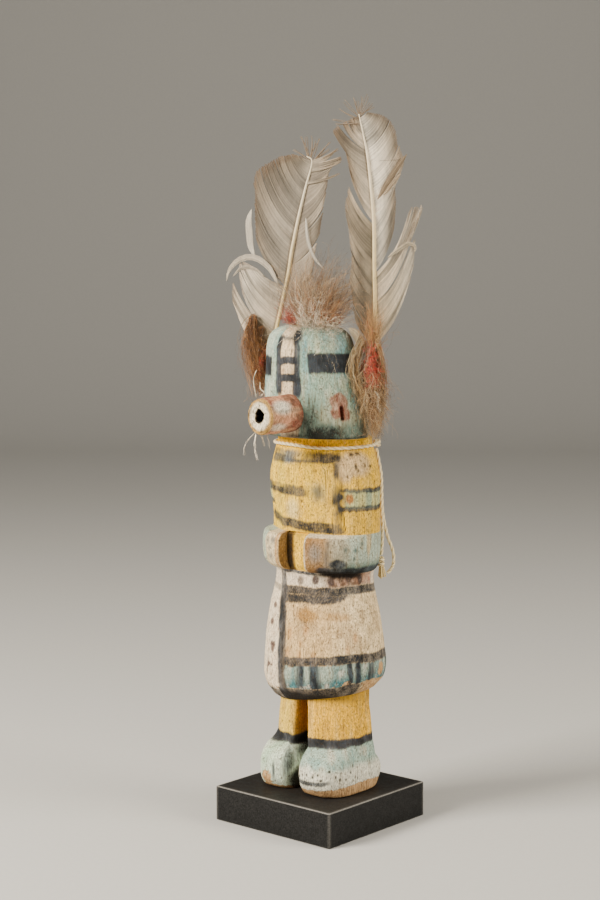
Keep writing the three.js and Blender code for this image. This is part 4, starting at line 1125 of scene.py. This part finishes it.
def socle():
    """A square block with rounded arrises: a profile carried round a square with small corner rounds."""
    low, high = (np.array(corner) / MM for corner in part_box("socle"))
    half = (high[0] - low[0]) / 2
    bottom, top = low[2] - SOLES / MM, high[2] - SOLES / MM
    bend = np.linspace(0, np.pi / 2, 5)
    edge = 0.6
    inset = [np.linspace(half - 1, edge + 0.3, 8), edge - edge * np.sin(bend), edge - edge * np.cos(bend),
             np.linspace(edge + 0.3, half - 1, 26)]
    height = [np.full(8, bottom), bottom + edge - edge * np.cos(bend), top - edge + edge * np.sin(bend),
              np.full(26, top)]
    inset, height = np.concatenate(inset), np.concatenate(height)
    # The arrises carry worn paint and a painted highlight, at both arrises and not across the side faces
    # between them.
    wear = np.concatenate([np.zeros(8), [0.1, 0.4, 0.6, 0.4, 0], [0, 0.8, 1, 0.9, 0.5], [0.12], np.zeros(25)])
    side = np.linspace(-1, 1, 44)[:-1]
    run = np.stack([side, -np.ones_like(side)], axis=-1)
    turns = [np.array([[c, s], [-s, c]]) for c, s in ((1, 0), (0, 1), (-1, 0), (0, -1))]  # quarter turns
    loop = np.concatenate([run @ turn for turn in turns])
    corner = np.abs(np.prod(loop, axis=1)) > 0.999
    loop = loop * np.where(corner, 0.9955, 1)[:, None]
    level = height[:, None] * np.ones(len(loop))
    rings = np.concatenate([(half - inset)[:, None, None] * loop, level[..., None]], axis=-1)
    dusty = (level > top - 0.01) * np.clip(1 - np.hypot(rings[..., 0] + 4, rings[..., 1]) / 46, 0.25, 1)
    # the upright corners get more of the painted highlight and wear
    upright = wear[:, None] + 0.35 * corner * (level < top - 0.5) * (level > bottom + 0.5)
    tint = np.stack([upright, dusty, 0 * dusty], axis=-1)
    skin = closed_skin(rings, (0, 0, bottom), (0, 0, top))
    piece("socle_block", "socle", "socle_black", black_lacquer(), *skin,
          wear=with_ends(tint, (0, 0, 0), (0, 1, 0)))


socle()


# ---------------------------------------------------------------- feathers

# A lobe is: root heights on the shaft, edge line, tone at the root, tone at the edge, forward offset.
# A ribbon is: line, half width, tone, forward offset. A fray is: root heights, tip.
# All are in the feather's plane, in millimetres from its foot.
RIGHT_FEATHER = {
    "foot": (-29, -5, 216), "turn": math.radians(30), "bow": 5, "camber": 6,
    "shaft": [[0, 0], [8.3, 37.5], [10.8, 53], [14.2, 70.5], [17.4, 84.5], [20.4, 97], [17.8, 100]],
    "lobes": [
        ((36, 98), [[-9.1, 60], [-10.5, 75], [-10.3, 90], [-5.3, 95.5], [1.3, 99.3], [8.6, 101.2],
                    [14.7, 100.2]],
         "#958b7c", "#786a57", 0.0),
        ((18, 93), [[15, 29], [21, 41], [23.6, 57], [25.7, 70.5], [28.5, 85.5], [29.4, 92.7], [34.7, 99.5]],
         "#a39685", "#b9ab97", 0.0),
        ((9, 35), [[-15.2, 31.7], [-17.1, 38.7], [-17.3, 47.3], [-13.8, 47.3], [-8.1, 44.4]],
         "#b0a28e", "#d2c6b3", 0.3),
        ((0, 12), [[-17.1, 19.6], [-20.8, 28], [-21.2, 37]], "#a8977f", "#c6b8a2", 0.6),
        ((92, 96), [[34.9, 97.2], [35.3, 98.6], [34.6, 99.9]], "#b3a591", "#a9977f", 0.3),
        ((94, 97.5), [[32.4, 103], [32.9, 104.1]], "#b3a591", "#a9977f", 0.2),
        ((86, 87), [[34.7, 91.2], [34.4, 92]], "#b3a591", "#a9977f", 0.5),
    ],
    "ribbons": [
        ([[4.8, 35.5], [-2.1, 46], [-9.9, 49.9], [-17.9, 48.3], [-24.3, 41.1], [-24.8, 37.5]],
         1.35, "#c9bdaa", 1.0),
        ([[-3, 40], [-9, 44], [-16, 44.5], [-21, 40]], 0.7, "#c2b5a1", 0.8),
        ([[-9, 50], [-11.5, 55], [-12.6, 62], [-13.2, 68], [-11.6, 74]], 1.7, "#cfc5b4", -0.9),
        ([[27.2, 43.6], [22.3, 49.5], [19.4, 56.5], [17.8, 69.4]], 0.6, "#ded6c8", 0.8),
    ],
    "frays": [((98, 100), (14.5, 109.6)), ((99, 100), (17.1, 109.5)), ((98, 100), (20.6, 109.5)),
              ((98, 99.5), (21.7, 107)), ((96, 98), (29.2, 107)), ((96, 98), (29.2, 103.1)),
              ((94, 97), (32.7, 103.6)), ((97, 99), (24, 108.5)), ((97, 99), (10.5, 103.5)),
              ((95, 98), (26, 104))],
}
LEFT_FEATHER = {
    "foot": (29.5, 6.5, 222.4), "turn": math.radians(50), "bow": 5, "camber": 5,
    "shaft": [[0, 0], [-0.6, 38.5], [-0.7, 59.7], [-1.8, 76], [-3.6, 93.4], [-5.5, 103.5], [-7.5, 113]],
    "lobes": [
        ((61.5, 108), [[-11.6, 82.3], [-13.9, 93.4], [-16.5, 101.5], [-20.5, 105.5], [-13.3, 110.2],
                       [-8, 112.3]],
         "#b8ab97", "#8b7861", 0.0),
        ((2, 59.5), [[-9.6, 12.4], [-12.7, 30.6], [-11.9, 42.3], [-12.6, 54.3], [-14.6, 68], [-12.6, 78]],
         "#897d69", "#a5957e", 0.0),
        ((37, 111), [[9.5, 58.2], [10.5, 70], [11.1, 81], [15, 90], [12.7, 97.4], [10.8, 107], [5.5, 112.6],
                     [-2.9, 114.2]],
         "#e8decd", "#b8a78f", 0.2),
        ((22, 36), [[17.8, 50], [18.5, 58], [24.4, 67.6], [19, 68.9], [16.8, 63.5]],
         "#cfc0a8", "#dccdb6", 0.5),
        ((2, 22), [[17.5, 32], [19.7, 41.6], [20.2, 52.5], [15.6, 43.6]], "#dac9ac", "#efe3cd", 0.2),
    ],
    "ribbons": [
        ([[1, 72], [6, 80], [11, 87], [16.5, 94]], 1.2, "#a58f73", 0.9),
        ([[4, 74], [9, 80], [13, 84.5]], 0.8, "#b29e83", 1.1),
        ([[-5, -1], [-8, 3.6], [-10.5, 7.6], [-13.5, 9.8]], 2.0, "#e3d6b8", 1.5),
        ([[6, 44], [12, 48], [17, 50.5], [20.5, 49], [20, 46.5]], 0.8, "#c7b99f", 0.7),
    ],
    "frays": [((109, 111), (-16.6, 115.2)), ((110, 112), (-14.1, 119.3)), ((111, 113), (-10.3, 120.8)),
              ((112, 113), (-5.7, 121.5)), ((112, 113), (-2.7, 122.3)), ((111, 113), (0.1, 117)),
              ((108, 110), (-18.5, 108)), ((88, 91), (15.5, 91.5)), ((110, 112), (-1.2, 118.6)),
              ((111, 113), (-8.2, 120)), ((106, 109), (-20.5, 111))],
}
BARB_PITCH = 0.42  # millimetres between barbs along a lobe's edge
BARB_STEPS = 13


def on_shaft(feather, v):
    """The shaft's plane points at heights v."""
    shaft = np.array(feather["shaft"])
    return np.stack([np.interp(v, shaft[:, 1], shaft[:, 0]), v], axis=-1)


def place(feather, plane, forward):
    """Plane points to space: the vane bows back as it rises, and its edges curl back."""
    foot, turn = feather["foot"], feather["turn"]
    u, v = np.moveaxis(plane, -1, 0)
    off_shaft = u - on_shaft(feather, v)[..., 0]
    back = forward - feather["bow"] * (v / 100) ** 2 - feather["camber"] * (off_shaft / 25) ** 2
    return np.stack([foot[0] + u * math.cos(turn) + back * math.sin(turn),
                     foot[1] + u * math.sin(turn) - back * math.cos(turn), foot[2] + v], axis=-1)


def bow_line(root, middle, tip, s):
    """The parabola through three points, at s from 0 to 1."""
    return root * (1 - s) * (1 - 2 * s) + middle * 4 * s * (1 - s) + tip * s * (2 * s - 1)


def lobe_barbs(feather, lobe, random):
    """Barbs of one lobe: parabolas from the shaft to the edge line that bend up on their way. They keep
    together in clumps of uneven size; here and there a clump has split off and drawn its tips together.
    Returns plane points (barbs, steps, 2), half widths, forward offsets and tones."""
    (low, high), edge, root_tone, edge_tone, forward = lobe
    length = np.linalg.norm(np.diff(edge, axis=0), axis=1).sum()
    count = max(4, round(max(length, 0.8 * (high - low)) / BARB_PITCH))
    t = np.linspace(0, 1, count)
    starts = np.cumsum(random.choice([4, 6, 9, 14, 22, 33], 200))
    clump = np.searchsorted(starts, np.arange(count), side="right")
    clumps = clump.max() + 1
    middle = np.array([t[clump == c].mean() if (clump == c).any() else 0 for c in range(clumps)])[clump]
    split = random.uniform(size=clumps) < 0.2
    gather = np.where(split, random.uniform(0.2, 0.5, clumps), random.uniform(0, 0.08, clumps))
    root = on_shaft(feather, mix(low, high, t))
    tip = through(edge, mix(t, middle, gather[clump]))
    reach = random.uniform(0.96, 1.015, clumps)[clump] + random.uniform(-0.015, 0.012, count)
    reach = np.where(random.uniform(size=count) < 0.04, reach - random.uniform(0.02, 0.1, count), reach)
    tip = root + (tip - root) * reach[:, None]
    bend = np.stack([mix(root[:, 0], tip[:, 0], 0.56), mix(root[:, 1], tip[:, 1], 0.4)], axis=-1)
    s = np.linspace(0, 1, BARB_STEPS)[None, :, None]
    line = bow_line(root[:, None], bend[:, None], tip[:, None], s)
    tangent, step = unit(np.gradient(line, axis=1)), np.gradient(line, axis=0)
    gap = np.abs(step[..., 0] * tangent[..., 1] - step[..., 1] * tangent[..., 0])
    s = s[..., 0]
    half = np.clip(gap * 0.62 + 0.03, 0.1, 0.5) * (1 - 0.5 * ease(s, 0.85, 1))
    swell = waver(360 * t[:, None] + 0 * s, 10 * s + 0 * t[:, None], 40, 5, int(high))
    lift = forward + (random.uniform(-0.4, 0.4, clumps)[clump])[:, None] * s ** 2 + 0.35 * swell * s
    lift = lift + random.uniform(-0.05, 0.05, (count, 1))
    tone = mix(linear(root_tone), linear(edge_tone), ease(s, 0.1, 1)[..., None])
    patch = waver(360 * t[:, None] + 0 * s, 12 * s + 0 * t[:, None], 25, 5, int(10 * high))
    own = 1 + random.uniform(-0.2, 0.2, count) + random.uniform(-0.3, 0.26, clumps)[clump]
    tone = tone * (own[:, None] + 0.28 * patch)[..., None]
    streak = np.where(random.uniform(size=clumps) < 0.4, random.uniform(0.25, 0.6, clumps), 0)[clump][:, None]
    streak_at = random.uniform(0.4, 0.95, clumps)[clump][:, None]
    tone = tone * (1 - streak * np.exp(-((s - streak_at) / 0.22) ** 2))[..., None]
    turned = np.concatenate([[False], clump[1:] != clump[:-1]]) & (random.uniform(size=count) < 0.55)
    tone = tone * np.where(turned, 0.4, 1)[:, None, None] ** s[..., None]
    brown = ease(s + random.uniform(-0.06, 0.06, (count, 1)), 0.86, 1.0)[..., None]
    return line, half, lift, mix(tone, linear("#75583a"), 0.55 * brown)


def ribbon_barbs(ribbon, random):
    """Barbs that curl off together: parallel lines along one path, closer where the ribbon tapers, as
    offset = place * half * (1 - |2s - 1|^3)."""
    path, half_wide, text, forward = ribbon
    count = max(3, round(2 * half_wide / 0.34))
    s = np.linspace(0, 1, BARB_STEPS)
    line = through(path, s, by_length=True)
    tangent = unit(np.gradient(line, axis=0))
    across = np.stack([-tangent[:, 1], tangent[:, 0]], axis=-1)
    offset = np.linspace(-1, 1, count)[:, None] * half_wide * (1 - np.abs(2 * s - 1) ** 3)
    lines = line[None] + across[None] * offset[..., None]
    half = np.full((count, BARB_STEPS), 0.2) * (1 - 0.4 * ease(s, 0.8, 1))
    lift = forward + 0.3 * np.cos(offset / max(half_wide, 0.1) * 1.4) + 0 * half
    tone = linear(text) * (1 + random.uniform(-0.35, 0.12, (count, 1, 1))) * np.ones((count, BARB_STEPS, 1))
    return lines, half, lift, tone


def fray_barbs(feather, random):
    """Loose barbs beyond the lobes, each end drawn as two thin ones that part a little."""
    roots, tips = np.moveaxis(np.repeat(np.array(feather["frays"], float), 2, axis=0), 1, 0)
    count = len(tips)
    root = on_shaft(feather, mix(roots[:, 0], roots[:, 1], random.uniform(0, 1, count)))
    tips = tips + random.uniform(-0.7, 0.7, tips.shape)
    bend = mix(root, tips, 0.5) + random.uniform(-0.8, 0.8, (count, 1)) * [1, 0.3]
    s = np.linspace(0, 1, BARB_STEPS)[None, :, None]
    line = bow_line(root[:, None], bend[:, None], tips[:, None], s)
    half = 0.21 * (1 - 0.35 * s[..., 0]) * np.ones((count, 1))
    lift = random.uniform(-0.6, 0.6, (count, 1)) * s[..., 0]
    tone = np.tile(linear("#907c66"), (count, BARB_STEPS, 1)) * random.uniform(0.75, 1.15, (count, 1, 1))
    return line, half, lift, tone


def feather_piece(name, node, feather, seed, material):
    """All barbs as thin diamond-section ribbons, and the quill as a tapering round rod, in one mesh."""
    random = np.random.default_rng(seed)
    sets = [lobe_barbs(feather, lobe, random) for lobe in feather["lobes"]]
    sets += [ribbon_barbs(ribbon, random) for ribbon in feather["ribbons"]]
    sets.append(fray_barbs(feather, random))
    line, half, lift, tone = (np.concatenate(rows) for rows in zip(*sets))
    tangent = unit(np.gradient(line, axis=1))
    across = np.stack([-tangent[..., 1], tangent[..., 0]], axis=-1)
    centre = place(feather, line, lift)
    side = place(feather, line + across * half[..., None], lift + 0.07) - centre
    normal = np.array([math.sin(feather["turn"]), -math.cos(feather["turn"]), 0])
    thick = 0.1 * normal * np.ones_like(centre)
    points, faces = sweep(centre, side, thick, [(1, 0), (0, 1), (-1, 0), (0, -1)])
    tints = np.repeat(tone.reshape(-1, 3), 4, axis=0)
    along = np.linspace(0, 1, 90)
    quill = through(feather["shaft"], along)
    rod = place(feather, quill, 0.25)[None]
    radius = np.interp(along, [0, 0.35, 0.5, 0.75, 1], [0.95, 0.92, 0.78, 0.5, 0.26])[None, :, None]
    rod_side, rod_lift = round_frame(rod, up=tuple(normal))
    rod_points, rod_faces = sweep(rod, rod_side * radius, rod_lift * radius, ring_outline(12))
    rod_tints = np.repeat(mix(linear("#e2c88e"), linear("#e9dcc0"), ease(along, 0, 0.7)[:, None]), 12, axis=0)
    points, faces, tints = joined([(points, faces, tints), (rod_points, rod_faces, rod_tints)])
    piece(name, node, "feather", material, points, faces, coat=tints)


feather_material = keratin()
feather_piece("right_ear_feather_barbs", "feather_right_ear", RIGHT_FEATHER, 101, feather_material)
feather_piece("left_ear_feather_barbs", "feather_left_ear", LEFT_FEATHER, 102, feather_material)


# ---------------------------------------------------------------- fur

fur_material = fur_hair()
HAIR_STEPS = 13


def scatter(random, count, spread, middle=0, scale=1):
    """Rows of three values, spread by a normal curve about middle."""
    return random.normal(0, spread, (count, 3)) * scale + middle


def pick(random, count, tones):
    """One colour a hair, from tones: hex colours with their shares."""
    table, shares = np.array([linear(tone) for tone in tones]), np.array(list(tones.values()))
    return table[random.choice(len(tones), count, p=shares / sum(shares))]


def disc(random, count, half_x, half_y):
    """Even random places in an ellipse: x, y, and the share of the way to its rim."""
    angle, away = random.uniform(0, 2 * np.pi, count), np.sqrt(random.uniform(0, 1, count))
    return half_x * away * np.cos(angle), half_y * away * np.sin(angle), away


def wisps(count, size):
    """Hairs stick together in wisps: the number of the first hair in each one's wisp."""
    return np.arange(count) // size * size


def hair_rods(line, radius, root_tone, tip_tone, random):
    """Hairs as three-sided closed rods along lines (hairs, steps, 3), thinner towards their tips.
    The two tones are one row a hair."""
    s = np.linspace(0, 1, line.shape[1])[None, :, None]
    side, lift = round_frame(line)
    thick = radius[:, None, None] * (1 - 0.7 * s)
    points, faces = sweep(line, side * thick, lift * thick, ring_outline(3))
    tone = mix(root_tone[:, None], tip_tone[:, None], ease(s, 0, 0.8))
    tone = tone * random.uniform(0.8, 1.15, (len(line), 1, 1))
    return points, faces, np.repeat(tone.reshape(-1, 3), 3, axis=0)


def hair(random, roots, heading, length, bend, curl, radius, root_tone, tip_tone=None):
    """A hair's line is root + heading s + bend s^2, with a wave sin(phase + turns s) that grows with s.
    Arrays are one row a hair. length may be a pair to draw from, as curl and radius are, and bend a spread.
    Each hair takes the shape and tone of its wisp's first one."""
    count = len(roots)
    first = wisps(count, 4)
    if isinstance(length, tuple):
        length = random.uniform(*length, count)
    if isinstance(bend, float):
        bend = scatter(random, count, bend)
    curl, radius = random.uniform(*curl, count), random.uniform(*radius, count)
    s = np.linspace(0, 1, HAIR_STEPS)[None, :, None]
    heading = unit(heading)[first] + random.uniform(-0.15, 0.15, (count, 3))
    roots = mix(roots, roots[first], 0.4)
    line = roots[:, None] + heading[:, None] * length[:, None, None] * s + bend[first][:, None] * s ** 2
    phase, turns = random.uniform(0, 6.28, (count, 1, 3))[first], random.uniform(4, 15, (count, 1, 3))
    line = line + curl[first][:, None, None] * s * np.sin(phase + s * turns * 1.1)
    shade = random.uniform(0.28, 1.5, (count, 1))[first]
    tip_tone = root_tone if tip_tone is None else tip_tone
    return hair_rods(line, radius, root_tone[first] * shade, tip_tone[first] * shade, random)


def lock(random, paths, count, spread, radius, tones):
    """Hairs that follow given paths: each wisp takes one path, strays from it by spread, and waves."""
    s = np.linspace(0, 1, HAIR_STEPS)
    first = wisps(count, 3)
    lines = np.array([through(path, s) for path in paths])[random.integers(0, len(paths), count)][first]
    s = s[None, :, None]
    stray = np.clip(random.normal(0, spread, (count, 1, 3))[first], -1.8 * spread, 1.8 * spread)
    stray = (stray + random.normal(0, 0.35 * spread, (count, 1, 3))) * (0.4 + s)
    phase, turns = random.uniform(0, 6.28, (count, 1, 3))[first], random.uniform(4, 16, (count, 1, 3))
    wave = 1.1 * spread * s ** 0.45 * np.sin(phase + s * turns)
    tone = pick(random, count, tones)[first] * random.uniform(0.28, 1.5, (count, 1))[first]
    return hair_rods(lines + stray + wave, random.uniform(*radius, count), tone, tone, random)


def fur_piece(name, node, slot, parts):
    points, faces, tints = joined(parts)
    piece(name, node, slot, fur_material, points, faces, coat=tints)


def felted_core(centre, half, tone, seed):
    """The felted middle of a tuft, hidden in its hair: a lumpy ball, half sizes times 1 + 0.15 noise."""
    turn, level = np.meshgrid(np.linspace(0, 2 * np.pi, 40, endpoint=False), np.linspace(-1.45, 1.45, 22))
    size = 1 + 0.15 * waver(np.degrees(turn), 10 * level, 40, 4, seed)
    ball = np.stack([np.cos(level) * np.cos(turn), np.cos(level) * np.sin(turn), np.sin(level)], axis=-1)
    rings = np.array(centre) + ball * size[..., None] * np.array(half)
    points, faces = closed_skin(rings, rings[0].mean(axis=0), rings[-1].mean(axis=0))
    return points, faces, np.tile(linear(tone), (len(points), 1))


def crown_fur():
    """Hair that rises from the crown, tan above orange and red roots, with white down over the brow."""
    random = np.random.default_rng(201)
    count = 1450
    x, y, away = disc(random, count, 11.5, 7)
    roots = np.stack([0.5 + x, -7.5 + y, 232.6 - 2.4 * away ** 4], axis=-1)
    heading = scatter(random, count, 0.26, np.stack([0.055 * x, 0.05 * y + 0.05, np.ones(count)], axis=-1))
    length = random.uniform(0.4, 1, count) * mix(40, 27, away ** 2)
    length = np.where(random.uniform(size=count) < 0.12, length * 1.3, length)
    bend = scatter(random, count, 4, (4, 1.5, 0), (1, 1, 0.3))
    tip = pick(random, count, {"#b08c62": 4, "#8a7050": 4, "#cfb188": 3, "#64574a": 4, "#b07a48": 2})
    root = pick(random, count, {"#b4502a": 3, "#bf6e38": 4, "#c08a50": 4, "#8c4a24": 2})
    main = hair(random, roots, heading, length, bend, (1, 4.5), (0.06, 0.11), root, tip)

    red = 300
    spot = np.array([(-7.5, -14.6, 234.5), (-4.5, -15, 234), (12, -2, 233.5)])[random.integers(0, 3, red)]
    heading = scatter(random, red, 0.5, (0, -0.2, 1))
    tone = pick(random, red, {"#cc3c1c": 3, "#bc5222": 3, "#962c12": 2})
    roots = scatter(random, red, 1.4, spot, (1, 1, 0.4))
    low = hair(random, roots, heading, (4, 11), 1.2, (0.4, 1.4), (0.06, 0.12), tone)

    down = 460
    angle = random.uniform(-2.1, 0.1, down)
    height = random.uniform(230.4, 232.6, down)
    roots = np.stack([2 + 11 * np.cos(angle), -7 + 7.2 * np.sin(angle), height], axis=-1)
    heading = np.stack([0.7 * np.cos(angle), 0.7 * np.sin(angle), random.uniform(-0.3, 1, down)], axis=-1)
    heading = scatter(random, down, 0.45, heading)
    white = pick(random, down, {"#f2e8d4": 4, "#e2d2b4": 3, "#cbb08a": 2})
    length = random.uniform(4, 13, down)
    bend = scatter(random, down, 2.6, (0, -0.5, -1))
    fluff = hair(random, roots, heading, length, bend, (0.8, 2.6), (0.06, 0.1), white)

    tall = 260
    roots = scatter(random, tall, 1, (3.5, -13.5, 233), (3.4, 1.2, 0.6))
    heading = scatter(random, tall, 0.3, (0.05, -0.15, 1))
    plume = hair(random, roots, heading, (6, 24), 2.0, (0.8, 2.6), (0.06, 0.1), white[:tall])
    fall_paths = [[(4, -13, 232), (6, -17.5, 229), (8, -20, 221)],
                  [(8, -11, 231.5), (13, -15, 227), (15, -17.5, 217)],
                  [(0, -14, 232), (-1, -18.5, 230), (0, -21.5, 224)],
                  [(12, -8, 230), (18, -11.5, 224), (20.5, -14, 212)]]
    falling = lock(random, fall_paths, 110, 1.3, (0.05, 0.08), {"#efe2c6": 3, "#cdb68c": 2})
    core = felted_core((2, -7, 235), (9.5, 6, 6), "#7c4a26", 7)
    fur_piece("crown_fur", "crown_tuft", "fur", [core, main, low, fluff, plume, falling])


def left_ear_fur():
    """Tan hair that hangs beside the mask and climbs the feather's foot, round a clump dyed red."""
    random = np.random.default_rng(202)
    count = 1000
    along = random.uniform(0, 1, count)
    x, y, _ = disc(random, count, 3, 4.6)
    roots = np.stack([mix(31.3, 31.8, along) + x, mix(3, 2.2, along) + y, mix(224, 196, along)], axis=-1)
    heading = np.stack([0.03 + 0.05 * x, 0.03 * y - 0.1, -np.ones(count)], axis=-1)
    heading = heading + random.uniform(-0.45, 0.45, (count, 3))
    length = random.uniform(9, 23, count)
    bend = scatter(random, count, 2, (0.5, -0.6, 0), (0.7, 1, 0.3))
    tip = pick(random, count, {"#a9855a": 4, "#c2a274": 4, "#7c5730": 4, "#9a6b3c": 2, "#dccaa6": 2})
    root = pick(random, count, {"#835528": 3, "#a3733f": 3, "#6f4220": 2, "#b98f5a": 3})
    main = hair(random, roots, heading, length, bend, (0.8, 4), (0.06, 0.11), root, tip)

    climb = 420
    start = random.uniform(0, 1, climb)
    out, back = mix(27, 34, random.uniform(0, 1, climb)), random.uniform(-1, 8, climb)
    roots = np.stack([out, back, mix(216, 228, start)], axis=-1)
    heading = scatter(random, climb, 0.22, (0, 0, 1))
    tan = pick(random, climb, {"#b87c3e": 3, "#c99a5e": 3, "#a86a34": 2, "#dcc49a": 2})
    rise = hair(random, roots, heading, (7, 22), 1.6, (0.4, 2), (0.045, 0.085), tan)

    red = 400
    spots = np.array([(33, -1.6, 213), (33.6, -1, 206.5), (33.2, 0, 220), (34.2, 0.6, 209.5)])
    roots = scatter(random, red, 1, spots[random.integers(0, 4, red)], (1, 1.6, 3))
    tone = pick(random, red, {"#c22c18": 4, "#cc4024": 4, "#8c2012": 2, "#d07a4c": 1})
    heading = scatter(random, red, 0.6, (0.3, -0.2, -0.3))
    dyed = hair(random, roots, heading, (2.5, 6.5), 1.2, (0.4, 1.5), (0.06, 0.13), tone)

    cheek_paths = [[(27.5, -2, 228), (26, -7, 216), (27.4, -6.4, 207), (29.2, -3.4, 200), (30, 0, 191)],
                   [(28.5, -1, 224), (27.4, -5, 213), (29, -4, 204), (30.4, -1, 195), (31.5, 1, 184)],
                   [(29, 0, 216), (28.6, -4.4, 207), (30.4, -2, 198), (31.6, 0, 188), (32.5, 1.4, 178)]]
    sandy = {"#bfa070": 4, "#9a7748": 4, "#dcc9a0": 2, "#6f4e2c": 4}
    cheek = lock(random, cheek_paths, 240, 1.9, (0.045, 0.08), sandy)
    edge_paths = [[(34, 2, 224), (36, 3.4, 216), (36, 3.6, 204), (34.6, 2.4, 190), (33, 1, 179)],
                  [(33, 2, 214), (35, 2.4, 204), (35, 2.2, 192), (33, 0.4, 181)]]
    brown = {"#8f6636": 3, "#b08a56": 3, "#6f4a24": 2, "#cfb283": 2}
    edge = lock(random, edge_paths, 300, 1.3, (0.05, 0.08), brown)
    white_path = [(35, -1, 202), (36.5, 0, 199.5), (36.2, 0, 195), (37, 1, 192)]
    white = lock(random, [white_path], 40, 0.35, (0.06, 0.1), {"#f2e8d2": 1})
    cores = [felted_core((31.5, 2.5, 214), (3.2, 4.4, 11), "#6a4322", 8),
             felted_core((32.8, 1.6, 196), (2.6, 3.6, 10), "#6f4a28", 10)]
    fur_piece("left_ear_fur", "left_ear_tuft", "dyed_fur", cores + [main, rise, dyed, cheek, edge, white])


def right_ear_fur():
    """Brown hair that hangs from the feather's foot behind the mask, red at one spot, with pale barbs."""
    random = np.random.default_rng(203)
    tan = {"#b07a44": 3, "#8a5a2e": 4, "#c99a66": 2, "#6d4320": 3}
    hang_paths = [[(-35.5, -10.5, 236), (-35.6, -13, 227), (-34.2, -13.4, 218), (-30.6, -11.5, 206)],
                  [(-33, -8, 230), (-34, -11, 220), (-32.2, -11.5, 211), (-29, -9.8, 201)],
                  [(-29, -6, 222), (-31, -10, 214), (-30, -10.4, 206), (-28, -9, 199)]]
    hang = lock(random, hang_paths, 800, 2.1, (0.055, 0.1), tan)

    count = 500
    roots = scatter(random, count, 1, (-30.5, -7, 214), (1.6, 2.4, 5))
    tone = pick(random, count, tan)
    heading = scatter(random, count, 0.5, (-0.3, -0.2, 0.5))
    fuzz = hair(random, roots, heading, (4, 10), 1.4, (0.4, 1.8), (0.05, 0.09), tone)

    red = 150
    tone = pick(random, red, {"#96301a": 1, "#b04426": 1})
    roots = scatter(random, red, 1, (-28, -12.6, 211.5), (0.8, 0.8, 2))
    dyed = hair(random, roots, scatter(random, red, 0.7), (2, 4.5), 0.8, (0.3, 1), (0.06, 0.12), tone)

    pale = {"#efe4cc": 2, "#dccba6": 1}
    barb_path = [(-27.5, -17.1, 210), (-28.6, -18.1, 206), (-28.3, -17.8, 201), (-27.5, -17.2, 196.5)]
    curl_path = [(-27, -15, 204), (-26, -16, 201), (-24.7, -14.7, 199), (-25.8, -15.7, 197.5)]
    barb = lock(random, [barb_path], 16, 0.14, (0.1, 0.16), pale)
    curl = lock(random, [curl_path], 12, 0.16, (0.08, 0.13), pale)
    core = felted_core((-30.6, -6.8, 214), (2.6, 4.2, 9), "#55351b", 9)
    fur_piece("right_ear_fur", "right_ear_tuft", "brown_fur", [core, hang, fuzz, dyed, barb, curl])


def whiskers():
    """A few pale bristles caught under the snout."""
    random = np.random.default_rng(204)
    pale = {"#e9dfcc": 2, "#c9b591": 1}
    thin = [[(-2.9, -44.6, 183.4), (-6.2, -47.2, 178.6), (-7.7, -48.4, 174.7), (-7.5, -48.3, 171.3)],
            [(-1.5, -43.6, 183), (-0.8, -43, 180), (0, -42.3, 176)],
            [(0.7, -41.7, 183), (1.6, -41, 180), (2.4, -40.2, 175)]]
    thick = [[(-2.9, -44.6, 182.6), (-3.3, -45.1, 178.6), (-3.3, -45.1, 174.7), (-2.5, -44.4, 169.3)]]
    bristles = [lock(random, thin, 16, 0.3, (0.05, 0.09), pale),
                lock(random, thick, 9, 0.3, (0.09, 0.15), pale)]
    fur_piece("snout_bristles", "snout", "fur", bristles)


crown_fur()
left_ear_fur()
right_ear_fur()
whiskers()


# ---------------------------------------------------------------- floor and light

def floor():
    """Pale paper, flat under the socle and curved up behind: z = 0, then a quarter circle, then a wall."""
    across = np.linspace(-3, 3, 13)
    bend = np.linspace(0, np.pi / 2, 16)
    run = np.concatenate([[-3, -1, 0.5, 1.2], 1.6 + 0.7 * np.sin(bend), [2.3]])
    rise = np.concatenate([[0, 0, 0, 0], 0.7 - 0.7 * np.cos(bend), [4]])
    x, row = np.meshgrid(across, np.arange(len(run)))
    c, s = math.cos(CAMERA_SIDE), math.sin(CAMERA_SIDE)
    points = np.stack([x * c - run[row] * s, x * s + run[row] * c, rise[row]], axis=-1).reshape(-1, 3)
    r, k = np.meshgrid(np.arange(len(run) - 1), np.arange(len(across) - 1), indexing="ij")
    a = r * len(across) + k
    faces = np.stack([a, a + 1, a + 1 + len(across), a + len(across)], axis=-1).reshape(-1, 4)
    mesh = bpy.data.meshes.new("floor")
    mesh.from_pydata(points.tolist(), [], faces.tolist())
    material, tree = new_material("pale paper")
    tone = layered(tree, "#bdbcb9", ("#c4c3c0", mapped_noise(tree, 1.0, 3.0, 3.0, 0.5)))
    add(tree, "OutputMaterial", add(tree, "BsdfPrincipled", tone, Roughness=0.95))
    finished("floor", mesh, material)


def soft_box(name, azimuth, elevation, away, size, watts):
    """A square soft light aimed at the doll's middle. Azimuth is from the camera, positive to its right."""
    data = bpy.data.lights.new(name, "AREA")
    data.color = linear("#fff6e6")
    data.shape, data.size, data.energy = "SQUARE", size, watts
    light = linked(name, data)
    turn, level = CAMERA_SIDE + math.radians(azimuth), math.radians(elevation)
    light.location = (away * math.cos(level) * math.sin(turn), -away * math.cos(level) * math.cos(turn),
                      0.18 + away * math.sin(level))
    light.rotation_euler = (math.pi / 2 - level, 0, turn)


floor()
soft_box("left", -62, 28, 1.1, 0.45, 30)
soft_box("right", 68, 22, 1.2, 0.6, 16)
soft_box("top", 8, 78, 1.0, 0.5, 4)
world = bpy.data.worlds.new("studio")
world.use_nodes = True
background = world.node_tree.nodes["Background"].inputs
background["Color"].default_value = rgba("#efebe4")
background["Strength"].default_value = 0.18
bpy.context.scene.world = world
